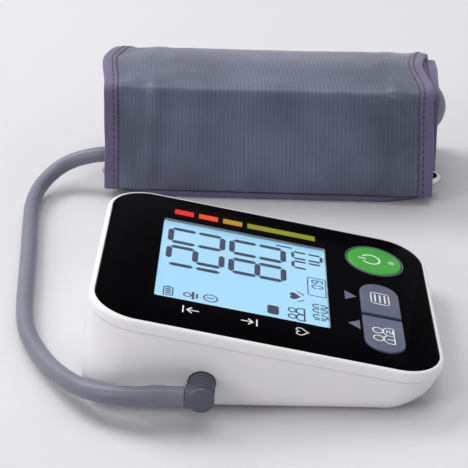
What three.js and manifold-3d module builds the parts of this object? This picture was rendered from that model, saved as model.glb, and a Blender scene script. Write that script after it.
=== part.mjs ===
// Upper arm blood pressure monitor: a wedge-shaped desk unit with a display, its air hose and a rolled cuff.
// Millimetres, +Z up. The unit slopes down towards +X, the user's side, and the cuff lies behind it on +Y.
import * as THREE from 'three';
import { mergeVertices } from 'three/addons/utils/BufferGeometryUtils.js';
import Module from 'manifold-3d';

const wasm = await Module();
wasm.setup();

// ---- Driving dimensions ----
const gap = 0.3; // seating and running clearance between separate pieces
const packing = 0.5; // least space between the units packed inside the case

const unitPlace = new THREE.Vector3(-0.9, -71.88, 0); // below the middle of the sloping panel
const panelTilt = THREE.MathUtils.degToRad(12.07);
const panelHeight = 27.56; // middle of the panel's surface above the floor

const rim = { length: 124.4, width: 100.6, radius: 17.5, depth: 4.2, border: 2 };
const shell = { wall: 2, draft: THREE.MathUtils.degToRad(4), lipInset: 1.6, creaseInset: 0.7 };
const underside = { height: 0.6, sweepReach: 21.2, sweepRadius: 26.8, heelRadius: 7, sideRadius: 5 };
const lens = {
  length: rim.length - 2 * rim.border,
  width: rim.width - 2 * rim.border,
  radius: rim.radius - rim.border,
  thickness: 1.5,
};
const plateThickness = 1.6; // upper case under the lens

const displayWindow = { x: -9.2, y: 0.3, length: 62.1, width: 59.9, radius: 2 };
const lcd = { length: 66, width: 67, thickness: 2 };
const backlightThickness = 3.7;
const keyColumn = lens.length / 2 - 19.2; // X of the keys' middles, set in from the thin end
const board = { left: -47, right: keyColumn + 6, width: 67, thickness: 1.2 };

const key = { rise: 0.7, flange: 0.8, flangeThickness: 0.8, stemRadius: 1.5, stemLength: 0.7 };
const powerKey = { x: keyColumn, y: 27.75, radius: 10.6, ringWall: 0.6 };
const longKeys = { x: keyColumn, width: 14.6, top: 8.45, split: -15.25, bottom: -39.25, splitGap: 0.6 };
const tactSwitch = { size: 6, height: 2 };

const boss = { radius: 3, fromThickEnd: 7.5, fromThinEnd: 6, fromSide: 7.9, thickDepth: 12, thinDepth: 8 }; // from the walls inside
const screw = { shank: 1.2, head: 2.6, headHeight: 2, seat: 1.6, counterbore: 3 };
const post = { radius: 3.8 };
const foot = { radius: 4, sunk: 1, fromHeel: 22, fromSweep: 8, fromSide: 11.2 };

const cell = { radius: 5.25, length: 44.5, nubRadius: 1.9, nubLength: 0.9, spacing: 0.3, count: 4 };
const bay = { fromHeel: 6.6, length: 51.4, wall: 1.4 };
const door = { thickness: 2, hinge: 1, latch: 1.5 };
const contact = { thickness: 0.5, wire: 0.35, coil: 2.6 };

const pump = { fromHeel: 10.1, z: 11, motorRadius: 7.7, motorLength: 21, headLength: 19, headSize: 16 };
const shaft = { radius: 0.8, discRadius: 3.4, offset: 1, discLength: 3 };
const port = { fromHeel: 43.5, z: 12.2, radius: 4.6, bore: 2.9, length: 12 };
const manifold = { width: 13, depth: 5.4, height: 12, nipple: 1.2, below: 4.7, sensorLevel: 9.4 };
const valve = { size: 9, length: 10, plunger: 1.3, travel: 1.6 };
const airTube = { radius: 1.7 };
const valveTubeLength = 3.6;

const plug = {
  radius: 4.65, length: 11.2, ribs: 5, ribDepth: 0.7, spigot: 2.5, spigotLength: 8, collar: 3.6, collarReach: 5.2,
  wallGap: 0.5, collarFromEnd: 3.6,
};
const hose = { radius: 3.35, sides: 10 };

const cuffPlace = new THREE.Vector3(-0.62, 46.57, 0.15);
const cuffTurn = THREE.MathUtils.degToRad(-2.8);
const cuff = { halfLength: 72.5, depth: 73, height: 59, tail: 2, pitch: 3.2, innerEnd: 15 };
const cuffCorner = { frontFoot: 8, backFoot: 16, backTop: 20, frontTop: 12 };
const layer = { fabric: 0.5, bladder: 0.8, lining: 0.5, space: 0.3 };
const binding = { width: 6, proud: 0.15 };
const patch = { halfLength: 60, from: 8, to: 50, thickness: 0.25 };
const ring = { wire: 1.4, halfLength: 75.5, depth: 9.2, loopWall: 0.6, loopHalfLength: 56 };
const bladderPort = { x: 5, z: 28.5, flange: 7.5, barrel: 4, length: 14 };

// ---- Colours of the real finishes ----
const finish = (color, roughness, metalness = 0) => new THREE.MeshStandardMaterial({ color, roughness, metalness });
const finishes = {
  whiteAbs: finish('#e8e6e8', 0.45),
  blackAcrylic: finish('#08070d', 0.12),
  clearAcrylic: finish('#a8d8f5', 0.1),
  glass: finish('#9fb8b0', 0.15),
  slateAbs: finish('#5d6480', 0.5),
  greenAbs: finish('#3db830', 0.35),
  board: finish('#1f5d3a', 0.6),
  blackPlastic: finish('#1c1d22', 0.5),
  steel: finish('#c4c2bf', 0.25, 1),
  zinc: finish('#9da1a8', 0.35, 1),
  rubber: finish('#43464d', 0.8),
  hosePvc: finish('#6a6e7b', 0.45),
  silicone: finish('#d9d6cf', 0.6),
  battery: finish('#2f3d6b', 0.4),
  nylon: finish('#5a6072', 0.75),
  bladderFilm: finish('#3d4049', 0.5),
  tape: finish('#6b5f85', 0.8),
  hook: finish('#24252b', 0.9),
};

// ---- Solids ----
// A closed three.js geometry as a manifold solid.
function solid(geometry) {
  const bare = geometry.index ? geometry.toNonIndexed() : geometry.clone();
  bare.deleteAttribute('normal');
  bare.deleteAttribute('uv');
  const merged = mergeVertices(bare, 1e-4);
  const vertProperties = merged.attributes.position.array;
  const triVerts = new Uint32Array(merged.index.array);
  return new wasm.Manifold(new wasm.Mesh({ numProp: 3, vertProperties, triVerts }));
}

function geometryOf(body) {
  const mesh = body.getMesh();
  const geometry = new THREE.BufferGeometry();
  geometry.setAttribute('position', new THREE.BufferAttribute(new Float32Array(mesh.vertProperties), 3));
  geometry.setIndex(new THREE.BufferAttribute(new Uint32Array(mesh.triVerts), 1));
  geometry.computeVertexNormals();
  return geometry;
}

// A box between two corners.
function block(x0, x1, y0, y1, z0, z1) {
  const geometry = new THREE.BoxGeometry(x1 - x0, y1 - y0, z1 - z0);
  geometry.translate((x0 + x1) / 2, (y0 + y1) / 2, (z0 + z1) / 2);
  return geometry;
}

// A cylinder along an axis ('x', 'y' or 'z') from one level to another, about the point of the other two.
function rod(axis, radius, from, to, u, v, sides = 24) {
  const geometry = new THREE.CylinderGeometry(radius, radius, to - from, sides);
  const middle = (from + to) / 2;
  if (axis === 'x') geometry.rotateZ(Math.PI / 2).translate(middle, u, v);
  if (axis === 'y') geometry.translate(u, middle, v);
  if (axis === 'z') geometry.rotateX(Math.PI / 2).translate(u, v, middle);
  return geometry;
}

// A flat outline in X and Y, raised from one level to another.
function raised(shape, z0, z1, curveSegments = 3) {
  const geometry = new THREE.ExtrudeGeometry(shape, { depth: z1 - z0, bevelEnabled: false, curveSegments });
  return geometry.translate(0, 0, z0);
}

function roundedRectangle(length, width, radius, x = 0, y = 0) {
  const right = length / 2 - radius;
  const top = width / 2 - radius;
  const shape = new THREE.Shape();
  shape.absarc(x + right, y + top, radius, 0, Math.PI / 2);
  shape.absarc(x - right, y + top, radius, Math.PI / 2, Math.PI);
  shape.absarc(x - right, y - top, radius, Math.PI, 1.5 * Math.PI);
  shape.absarc(x + right, y - top, radius, 1.5 * Math.PI, 2 * Math.PI);
  shape.closePath();
  return shape;
}

// A closed skin through outlines of equal point count, each at its own level, from the lowest up.
function lofted(rings) {
  const count = rings[0].points.length;
  const positions = [];
  const indices = [];
  for (const { points, z } of rings) {
    for (const point of points) positions.push(point.x, point.y, z);
  }
  for (let level = 0; level < rings.length - 1; level++) {
    for (let i = 0; i < count; i++) {
      const a = level * count + i;
      const b = level * count + ((i + 1) % count);
      indices.push(a, b, b + count, a, b + count, a + count);
    }
  }
  const cap = THREE.ShapeUtils.triangulateShape(rings[0].points, []);
  const top = (rings.length - 1) * count;
  for (const [a, b, c] of cap) indices.push(c, b, a, top + a, top + b, top + c);
  const geometry = new THREE.BufferGeometry();
  geometry.setAttribute('position', new THREE.Float32BufferAttribute(positions, 3));
  geometry.setIndex(indices);
  return geometry;
}

// A turned piece about an axis ('x', 'y' or 'z') from [radius, level] pairs, then moved.
function turned(axis, profile, place, segments = 24) {
  const points = profile.map(([radius, level]) => new THREE.Vector2(radius, level));
  const geometry = new THREE.LatheGeometry(points, segments);
  if (axis === 'x') geometry.rotateZ(-Math.PI / 2);
  if (axis === 'z') geometry.rotateX(Math.PI / 2);
  return geometry.translate(place[0], place[1], place[2]);
}

// A round tube along a smooth curve through the given points.
function tubeAlong(points, radius, sides, steps) {
  const route = new THREE.CatmullRomCurve3(points.map((p) => new THREE.Vector3(...p)), false, 'centripetal');
  const section = new THREE.Shape();
  for (let i = 0; i < sides; i++) {
    const angle = (2 * Math.PI * i) / sides;
    const place = [radius * Math.cos(angle), radius * Math.sin(angle)];
    if (i === 0) section.moveTo(...place);
    else section.lineTo(...place);
  }
  section.closePath();
  return new THREE.ExtrudeGeometry(section, { extrudePath: route, steps, bevelEnabled: false });
}

function addPiece(group, name, shape, material) {
  const geometry = shape.isBufferGeometry ? shape : geometryOf(shape);
  const mesh = new THREE.Mesh(geometry, material);
  mesh.name = name;
  group.add(mesh);
  return mesh;
}

// ---- Groups ----
const monitor = new THREE.Group();
const unit = new THREE.Group();
unit.position.copy(unitPlace);
const panel = new THREE.Group(); // its Z is the panel's outward normal, zero at the surface
panel.position.set(0, 0, panelHeight);
panel.rotation.y = panelTilt;
panel.updateMatrix();
const cuffGroup = new THREE.Group();
cuffGroup.position.copy(cuffPlace);
cuffGroup.rotation.z = cuffTurn;
monitor.add(unit);
unit.add(panel);
monitor.add(cuffGroup);

const fromPanel = (geometry) => geometry.clone().applyMatrix4(panel.matrix);

// ---- Levels below the panel's surface ----
const lensBottom = -lens.thickness;
const plateTop = lensBottom - gap;
const plateBottom = plateTop - plateThickness;
const splitLevel = -rim.depth;
const lcdTop = plateTop - gap;
const lcdBottom = lcdTop - lcd.thickness;
const backlightTop = lcdBottom - gap;
const backlightBottom = backlightTop - backlightThickness;
const boardTop = backlightBottom - gap;
const boardBottom = boardTop - board.thickness;
const flangeTop = plateBottom - gap;
const flangeBottom = flangeTop - key.flangeThickness;
const floorTop = underside.height + shell.wall;
const formDepth = 50; // how far below the panel the drafted walls are carried before they are cut off

// ---- Places that follow from the outer form ----
const draftSlope = Math.tan(shell.draft);
const insetBelowRim = (level) => shell.creaseInset + (-level - rim.depth) * draftSlope;

// X of the thick end's outer wall where it meets the underside.
function heelPlace() {
  const slant = Math.sin(panelTilt);
  const upright = Math.cos(panelTilt);
  const rimEnd = shell.creaseInset - rim.length / 2;
  const rise = underside.height - panelHeight + (rimEnd - rim.depth * draftSlope) * slant;
  const level = rise / (upright + draftSlope * slant);
  return (rimEnd - (level + rim.depth) * draftSlope) * upright + level * slant;
}

// The panel level at which the inside of the underside lies below a place along the panel.
function innerFloor(place) {
  const slant = Math.sin(panelTilt);
  const upright = Math.cos(panelTilt);
  const radius = underside.sweepRadius - shell.wall;
  let level = -panelHeight;
  for (let i = 0; i < 4; i++) {
    const pastSweep = Math.max(0, place * upright + level * slant - sweepX);
    const height = floorTop + radius - Math.sqrt(radius ** 2 - pastSweep ** 2);
    level = (height - panelHeight + place * slant) / upright;
  }
  return level;
}

const heelX = heelPlace();
const sweepX = rim.length / 2 - underside.sweepReach;
const insideInset = insetBelowRim(splitLevel) + shell.wall;
const inside = { x: rim.length / 2 - insideInset, y: rim.width / 2 - insideInset };
const bossX = { thick: boss.fromThickEnd - inside.x, thin: inside.x - boss.fromThinEnd };
const bossY = inside.y - boss.fromSide;
const thinDepth = Math.min(boss.thinDepth, -innerFloor(bossX.thin + boss.radius) - gap);
const bossSpots = [
  [bossX.thick, -bossY, boss.thickDepth], [bossX.thick, bossY, boss.thickDepth],
  [bossX.thin, -bossY, thinDepth], [bossX.thin, bossY, thinDepth],
];
const footX = { thick: heelX + foot.fromHeel, thin: sweepX - foot.fromSweep };
const footY = rim.width / 2 - foot.fromSide;
const footSpots = [[footX.thick, -footY], [footX.thick, footY], [footX.thin, -footY], [footX.thin, footY]];
const bayLeft = heelX + bay.fromHeel;
const bayRight = bayLeft + bay.length;
const pumpX = heelX + pump.fromHeel;
const portX = heelX + port.fromHeel;
const portLevel = portX * Math.sin(panelTilt) + (port.z - panelHeight) * Math.cos(panelTilt);
const nearWall = insetBelowRim(portLevel) - rim.width / 2; // outer face of the near wall at the port
const wallY = nearWall + shell.wall + gap; // clear of the wall's inner face
const manifoldY = wallY + port.length + gap; // near face of the manifold
const middleY = manifoldY + manifold.depth / 2;
const pumpY = manifoldY + manifold.depth + packing + pump.headSize / 2;
const cellPitch = 2 * cell.radius + cell.spacing;
const bayWidth = cellPitch * cell.count + 1;
const bayY = pumpY + pump.headSize / 2 + packing + bay.wall + bayWidth / 2;

// ---- Outer body ----
function rimOutline(inset) {
  const shape = roundedRectangle(rim.length - 2 * inset, rim.width - 2 * inset, rim.radius - inset);
  return shape.getPoints(3).slice(0, -1);
}

// The case's outer form, or a form inside it by a wall, between two levels of the panel's frame.
function caseForm(wall, low, high) {
  const levels = [
    [0, shell.lipInset],
    [-0.5, 0.6],
    [-shell.lipInset, 0],
    [-rim.depth + 0.9, 0.15],
    [-rim.depth, shell.creaseInset],
    [-formDepth, insetBelowRim(-formDepth)],
  ];
  const insetAt = (level) => {
    const below = levels.findIndex(([z]) => z <= level);
    if (below <= 0) return levels[0][1];
    const [highLevel, highInset] = levels[below - 1];
    const [lowLevel, lowInset] = levels[below];
    const part = (level - highLevel) / (lowLevel - highLevel);
    return highInset + part * (lowInset - highInset);
  };
  const inner = levels.map(([z]) => z).filter((z) => z < high && z > low);
  const cuts = [high, ...inner, low].reverse();
  return lofted(cuts.map((z) => ({ points: rimOutline(insetAt(z) + wall), z })));
}

// The side view of the body: flat base, rounded heel and the upward sweep under the thin end.
function sideForm(wall) {
  const base = underside.height + wall;
  const heel = Math.max(underside.heelRadius - wall, 1);
  const sweep = underside.sweepRadius - wall;
  const beyond = rim.length / 2 + 30; // past both ends, where only the drafted walls shape the body
  const above = panelHeight + rim.length / 2;
  const shape = new THREE.Shape();
  shape.moveTo(-beyond, above);
  shape.lineTo(-beyond, base + heel + 4);
  shape.absarc(heelX + underside.heelRadius, base + heel, heel, Math.PI, 1.5 * Math.PI);
  shape.absarc(sweepX, base + sweep, sweep, 1.5 * Math.PI, 1.86 * Math.PI);
  shape.lineTo(beyond, above - 10);
  shape.lineTo(beyond, above);
  shape.closePath();
  const geometry = raised(shape, -rim.width, rim.width, 3);
  return geometry.rotateX(Math.PI / 2);
}

// The end view of the body: rounded lower edges along both sides.
function endForm(wall) {
  const base = underside.height + wall;
  const radius = Math.max(underside.sideRadius - wall, 0.8);
  const half = rim.width / 2 - shell.creaseInset - wall;
  const above = panelHeight + rim.length / 2;
  const shape = new THREE.Shape();
  shape.moveTo(-half - 6, above);
  shape.lineTo(-half - 6, base + radius + 6);
  shape.absarc(-half + radius, base + radius, radius, Math.PI, 1.5 * Math.PI);
  shape.absarc(half - radius, base + radius, radius, 1.5 * Math.PI, 2 * Math.PI);
  shape.lineTo(half + 6, base + radius + 6);
  shape.lineTo(half + 6, above);
  shape.closePath();
  const along = new THREE.Matrix4();
  along.makeBasis(new THREE.Vector3(0, 1, 0), new THREE.Vector3(0, 0, 1), new THREE.Vector3(1, 0, 0));
  return raised(shape, -rim.length, rim.length, 2).applyMatrix4(along);
}

function bodyForm(wall, high) {
  let body = solid(fromPanel(caseForm(wall, -formDepth, high)));
  body = body.intersect(solid(sideForm(wall)));
  return body.intersect(solid(endForm(wall)));
}

// ---- Keys and their outlines ----
function longKeyOutline(grow, bottom, top, roundBottom, roundTop) {
  const half = longKeys.width / 2 + grow;
  const shape = new THREE.Shape();
  const low = roundBottom ? bottom - grow : bottom;
  const high = roundTop ? top + grow : top;
  if (roundTop) shape.absarc(longKeys.x, high - half, half, 0, Math.PI);
  else shape.moveTo(longKeys.x + half, high);
  if (!roundTop) shape.lineTo(longKeys.x - half, high);
  if (roundBottom) shape.absarc(longKeys.x, low + half, half, Math.PI, 2 * Math.PI);
  else shape.lineTo(longKeys.x - half, low);
  if (!roundBottom) shape.lineTo(longKeys.x + half, low);
  shape.closePath();
  return shape;
}

function circle(x, y, radius) {
  const shape = new THREE.Shape();
  shape.absarc(x, y, radius, 0, 2 * Math.PI);
  return shape;
}

const ringOuter = powerKey.radius + gap + powerKey.ringWall;
const longKeyHole = longKeyOutline(gap, longKeys.bottom, longKeys.top, true, true);
const switchSpots = {
  power: [powerKey.x, powerKey.y],
  memory: [longKeys.x, (longKeys.split + longKeys.top) / 2],
  user: [longKeys.x, (longKeys.split + longKeys.bottom) / 2],
};

// ---- Upper case: the white rim, the plate under the lens and the screw bosses ----
function upperCase() {
  let body = solid(fromPanel(caseForm(0, splitLevel, 0)));
  const recess = roundedRectangle(lens.length + 2 * gap, lens.width + 2 * gap, lens.radius + gap);
  body = body.subtract(solid(fromPanel(raised(recess, plateTop, 2))));
  const hollow = lofted([
    { points: rimOutline(shell.creaseInset + shell.wall), z: splitLevel - 1 },
    { points: rimOutline(shell.creaseInset + shell.wall), z: plateBottom },
  ]);
  body = body.subtract(solid(fromPanel(hollow)));
  const { x, y } = displayWindow;
  const lcdHole = roundedRectangle(lcd.length + 2 * gap, lcd.width + 2 * gap, 1, x, y);
  const powerHole = circle(powerKey.x, powerKey.y, powerKey.radius + gap);
  for (const [hole, segments] of [[lcdHole, 1], [powerHole, 14], [longKeyHole, 7]]) {
    body = body.subtract(solid(fromPanel(raised(hole, plateBottom - 1, 2, segments))));
  }
  for (const [u, v, depth] of bossSpots) {
    body = body.add(solid(fromPanel(rod('z', boss.radius, -depth, plateBottom + 0.4, u, v, 16))));
    body = body.subtract(solid(fromPanel(rod('z', screw.shank + gap, -depth - 1, plateBottom - 1, u, v, 12))));
  }
  for (const u of [board.left + 1.5, powerKey.x - ringOuter - 2]) {
    for (const v of [-board.width / 2 + 1.6, board.width / 2 - 1.6]) {
      body = body.add(solid(fromPanel(rod('z', 1, boardTop + gap, plateBottom + 0.4, u, v, 12))));
    }
  }
  return body;
}

// ---- Lower case: the wedge-shaped tub with its battery bay, posts and port hole ----
const doorTop = underside.height + door.thickness;
const cellZ = doorTop + gap + cell.radius;
const bayCeiling = cellZ + cell.radius + 0.4;

// The level that a screw's head seats under, in the post below a boss of the given depth.
const screwSeat = (depth) => -depth - gap - screw.seat;

function lowerCase() {
  const parting = splitLevel - gap;
  let body = bodyForm(0, parting);
  body = body.subtract(bodyForm(shell.wall, parting + 1));
  const bayBox = block(
    bayLeft - bay.wall, bayRight + bay.wall, bayY - bayWidth / 2 - bay.wall, bayY + bayWidth / 2 + bay.wall,
    underside.height, bayCeiling + bay.wall,
  );
  let additions = solid(bayBox);
  for (const [u, v, depth] of bossSpots) {
    additions = additions.add(solid(fromPanel(rod('z', post.radius, -formDepth, -depth - gap, u, v, 16))));
  }
  const cradleLeft = pumpX + 4;
  additions = additions.add(solid(block(cradleLeft, cradleLeft + 14, pumpY - 6, pumpY + 6, 1, pump.z - 3)));
  body = body.add(additions.intersect(bodyForm(0, parting)));
  body = body.subtract(solid(rod('x', pump.motorRadius + gap, pumpX - 1, pumpX + 30, pumpY, pump.z)));
  const bayHole = block(bayLeft, bayRight, bayY - bayWidth / 2, bayY + bayWidth / 2, -1, bayCeiling);
  body = body.subtract(solid(bayHole));
  for (const [u, v, depth] of bossSpots) {
    body = body.subtract(solid(fromPanel(rod('z', screw.shank + gap, -formDepth, -depth + 1, u, v, 12))));
    body = body.subtract(solid(fromPanel(rod('z', screw.counterbore, -formDepth, screwSeat(depth), u, v, 16))));
  }
  for (const [x, y] of footSpots) {
    body = body.subtract(solid(rod('z', foot.radius + gap, -1, underside.height + foot.sunk, x, y, 16)));
  }
  return body.subtract(solid(rod('y', port.radius + gap, nearWall - 5, wallY + 5, portX, port.z)));
}

// ---- Battery door, hinged at its +X edge, whose end is round about the hinge axis ----
function batteryDoor() {
  const half = bayWidth / 2 - gap;
  const left = bayLeft + gap;
  const right = bayRight - gap - door.hinge;
  const middle = underside.height + door.thickness / 2;
  let body = solid(block(left, right, bayY - half, bayY + half, underside.height, doorTop));
  body = body.add(solid(rod('y', door.thickness / 2, bayY - half, bayY + half, right, middle, 16)));
  const latch = block(left, left + 1.2, bayY - 6, bayY + 6, doorTop - 0.5, doorTop + door.latch);
  body = body.add(solid(latch));
  for (let i = 1; i < 5; i++) {
    const x = left + 3 + 1.6 * i;
    const groove = block(x, x + 0.7, bayY - 8, bayY + 8, -1, underside.height + 0.5);
    body = body.subtract(solid(groove));
  }
  return body;
}

// ---- Lens, window and display ----
function frontPanel() {
  let body = solid(raised(roundedRectangle(lens.length, lens.width, lens.radius), lensBottom, 0));
  const { x, y, length, width, radius } = displayWindow;
  const holes = [
    [roundedRectangle(length, width, radius, x, y), 2],
    [circle(powerKey.x, powerKey.y, ringOuter + gap), 14],
    [longKeyHole, 7],
  ];
  for (const [hole, segments] of holes) body = body.subtract(solid(raised(hole, -5, 2, segments)));
  return body;
}

function displayParts() {
  const { x, y, length, width, radius } = displayWindow;
  const window = roundedRectangle(length - 2 * gap, width - 2 * gap, radius - gap, x, y);
  addPiece(panel, 'display_window', raised(window, lensBottom, -0.1, 2), finishes.clearAcrylic);
  const glass = roundedRectangle(lcd.length, lcd.width, 0.7, x, y);
  addPiece(panel, 'lcd_module', raised(glass, lcdBottom, lcdTop, 1), finishes.glass);
  const light = roundedRectangle(lcd.length - 2, lcd.width - 3, 1, x, y);
  addPiece(panel, 'lcd_backlight', raised(light, backlightBottom, backlightTop, 1), finishes.silicone);
  const boardX = (board.left + board.right) / 2;
  const outline = roundedRectangle(board.right - board.left, board.width, 2, boardX, 0);
  addPiece(panel, 'main_board', raised(outline, boardBottom, boardTop, 2), finishes.board);
}

// ---- Keys, their ring and their switches ----
function pushKey(name, cap, flange, segments, spot, material) {
  let body = solid(raised(cap, flangeBottom, key.rise, segments));
  body = body.add(solid(raised(flange, flangeBottom, flangeTop, segments)));
  const stem = rod('z', key.stemRadius, flangeBottom - key.stemLength, flangeBottom + 0.2, ...spot, 12);
  addPiece(panel, name, body.add(solid(stem)), material);
}

function keys() {
  const { x, y, radius } = powerKey;
  const power = (grow) => circle(x, y, radius + grow);
  pushKey('power_button', power(0), power(key.flange), 14, switchSpots.power, finishes.greenAbs);
  const upperEdge = longKeys.split + longKeys.splitGap / 2;
  const lowerEdge = longKeys.split - longKeys.splitGap / 2;
  const memory = (grow) => longKeyOutline(grow, upperEdge, longKeys.top, false, true);
  const user = (grow) => longKeyOutline(grow, longKeys.bottom, lowerEdge, true, false);
  pushKey('memory_button', memory(0), memory(key.flange), 7, switchSpots.memory, finishes.slateAbs);
  pushKey('user_button', user(0), user(key.flange), 7, switchSpots.user, finishes.slateAbs);
  const ringProfile = [
    [radius + gap, lensBottom], [ringOuter, lensBottom], [ringOuter, 0.3], [radius + gap, 0.3],
    [radius + gap, lensBottom],
  ];
  addPiece(panel, 'power_button_ring', turned('z', ringProfile, [x, y, 0], 28), finishes.slateAbs);
  for (const [name, spot] of Object.entries(switchSpots)) {
    const half = tactSwitch.size / 2;
    const base = block(
      spot[0] - half, spot[0] + half, spot[1] - half, spot[1] + half,
      boardTop + gap, boardTop + gap + tactSwitch.height - 0.7,
    );
    const top = rod('z', 1.6, boardTop + 1, boardTop + gap + tactSwitch.height - 0.2, ...spot, 12);
    addPiece(panel, 'tact_switch_' + name, solid(base).add(solid(top)), finishes.blackPlastic);
  }
}

// ---- Screws and feet ----
function fasteners() {
  bossSpots.forEach(([u, v, depth], i) => {
    const top = screwSeat(depth) - gap;
    const tip = plateBottom - 1 - 2 * gap;
    const profile = [
      [0, top - screw.headHeight], [screw.head, top - screw.headHeight + 0.4], [screw.head, top],
      [screw.shank, top], [screw.shank, tip - 1], [0, tip],
    ];
    addPiece(panel, 'case_screw_' + (i + 1), turned('z', profile, [u, v, 0], 16), finishes.steel);
  });
  footSpots.forEach(([x, y], i) => {
    const top = underside.height + foot.sunk - gap;
    const profile = [[0, 0], [foot.radius - 0.4, 0], [foot.radius, 0.4], [foot.radius, top], [0, top]];
    addPiece(unit, 'rubber_foot_' + (i + 1), turned('z', profile, [x, y, 0], 16), finishes.rubber);
  });
}

// ---- Batteries and contacts ----
const cellLeft = bayLeft + (bay.length - cell.length) / 2;
const cellY = (i) => bayY + (i - (cell.count - 1) / 2) * cellPitch;

function batteries() {
  for (let i = 0; i < cell.count; i++) {
    const profile = [
      [0, 0], [cell.radius - 0.6, 0], [cell.radius, 0.6], [cell.radius, cell.length - 2],
      [cell.radius - 0.5, cell.length - cell.nubLength], [cell.nubRadius, cell.length - cell.nubLength],
      [cell.nubRadius, cell.length], [0, cell.length],
    ];
    const cellBody = turned('x', profile, [0, 0, 0], 16);
    if (i % 2 === 1) cellBody.rotateZ(Math.PI).translate(cell.length, 0, 0);
    cellBody.translate(cellLeft, cellY(i), cellZ);
    addPiece(unit, 'battery_' + (i + 1), cellBody, finishes.battery);
  }
}

// A sheet contact at one end of the bay, with a coil spring for each negative end.
function contactPlate(name, atLeft, cells) {
  const inward = atLeft ? 1 : -1;
  const face = atLeft ? bayLeft + gap : bayRight - gap;
  const back = face + inward * contact.thickness;
  const y0 = cellY(cells[0]) - cell.radius + 0.8;
  const y1 = cellY(cells[cells.length - 1]) + cell.radius - 0.8;
  const low = doorTop + door.latch + gap;
  let body = solid(block(Math.min(face, back), Math.max(face, back), y0, y1, low, bayCeiling - gap));
  const reach = (bay.length - cell.length) / 2 - 2 * gap;
  for (const i of cells) {
    const negativeHere = (i % 2 === 0) === atLeft;
    const end = face + inward * (negativeHere ? reach : reach - 0.1);
    const root = back - inward * 0.2; // sunk into the plate
    if (negativeHere) {
      const points = [];
      for (let step = 0; step <= 30; step++) {
        const angle = (step / 10) * 2 * Math.PI;
        const along = THREE.MathUtils.lerp(root, end - inward * contact.wire, step / 30);
        const radius = contact.coil - 0.8 * (step / 30);
        points.push([along, cellY(i) + radius * Math.cos(angle), cellZ + radius * Math.sin(angle)]);
      }
      body = body.add(solid(tubeAlong(points, contact.wire, 4, 27)));
    } else {
      const from = Math.min(root, end);
      const to = Math.max(root, end);
      body = body.add(solid(rod('x', 1.4, from, to, cellY(i), cellZ, 12)));
    }
  }
  addPiece(unit, name, body, finishes.steel);
}

function contacts() {
  contactPlate('contact_minus', true, [0]);
  contactPlate('contact_bridge_1', true, [1, 2]);
  contactPlate('contact_plus', true, [3]);
  contactPlate('contact_bridge_2', false, [0, 1]);
  contactPlate('contact_bridge_3', false, [2, 3]);
}

// ---- Pump, valve, sensor and air passages ----
const headLeft = pumpX + pump.motorLength + gap;
const headRight = headLeft + pump.headLength;

function pumpParts() {
  const motorRight = pumpX + pump.motorLength;
  const bore = rod('x', shaft.radius + gap, motorRight - 12, motorRight + 1, pumpY, pump.z, 16);
  const can = turned('x', [
    [0, 0], [pump.motorRadius - 1, 0], [pump.motorRadius, 1], [pump.motorRadius, pump.motorLength],
    [0, pump.motorLength],
  ], [pumpX, pumpY, pump.z], 28);
  addPiece(unit, 'motor_can', solid(can).subtract(solid(bore)), finishes.zinc);

  const discX = headLeft + 3;
  let rotor = solid(rod('x', shaft.radius, motorRight - 11, discX + 1, pumpY, pump.z, 12));
  const disc = rod('x', shaft.discRadius, discX, discX + shaft.discLength, pumpY, pump.z + shaft.offset, 20);
  rotor = rotor.add(solid(disc));
  addPiece(unit, 'motor_shaft', rotor, finishes.steel);

  const half = pump.headSize / 2;
  let head = solid(block(headLeft, headRight, pumpY - half, pumpY + half, pump.z - half, pump.z + half));
  const room = shaft.discRadius + shaft.offset + 0.6;
  head = head.subtract(solid(rod('x', room, headLeft - 1, discX + shaft.discLength + 1.5, pumpY, pump.z)));
  head = head.subtract(solid(rod('x', 0.8, headLeft, headRight + 5, pumpY, pump.z, 12)));
  const outlet = solid(rod('x', 1.5, headRight - 0.5, headRight + 2.5, pumpY, pump.z, 16));
  head = head.add(outlet.subtract(solid(rod('x', 0.8, headLeft, headRight + 5, pumpY, pump.z, 12))));
  addPiece(unit, 'pump_head', head, finishes.blackPlastic);
}

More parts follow.
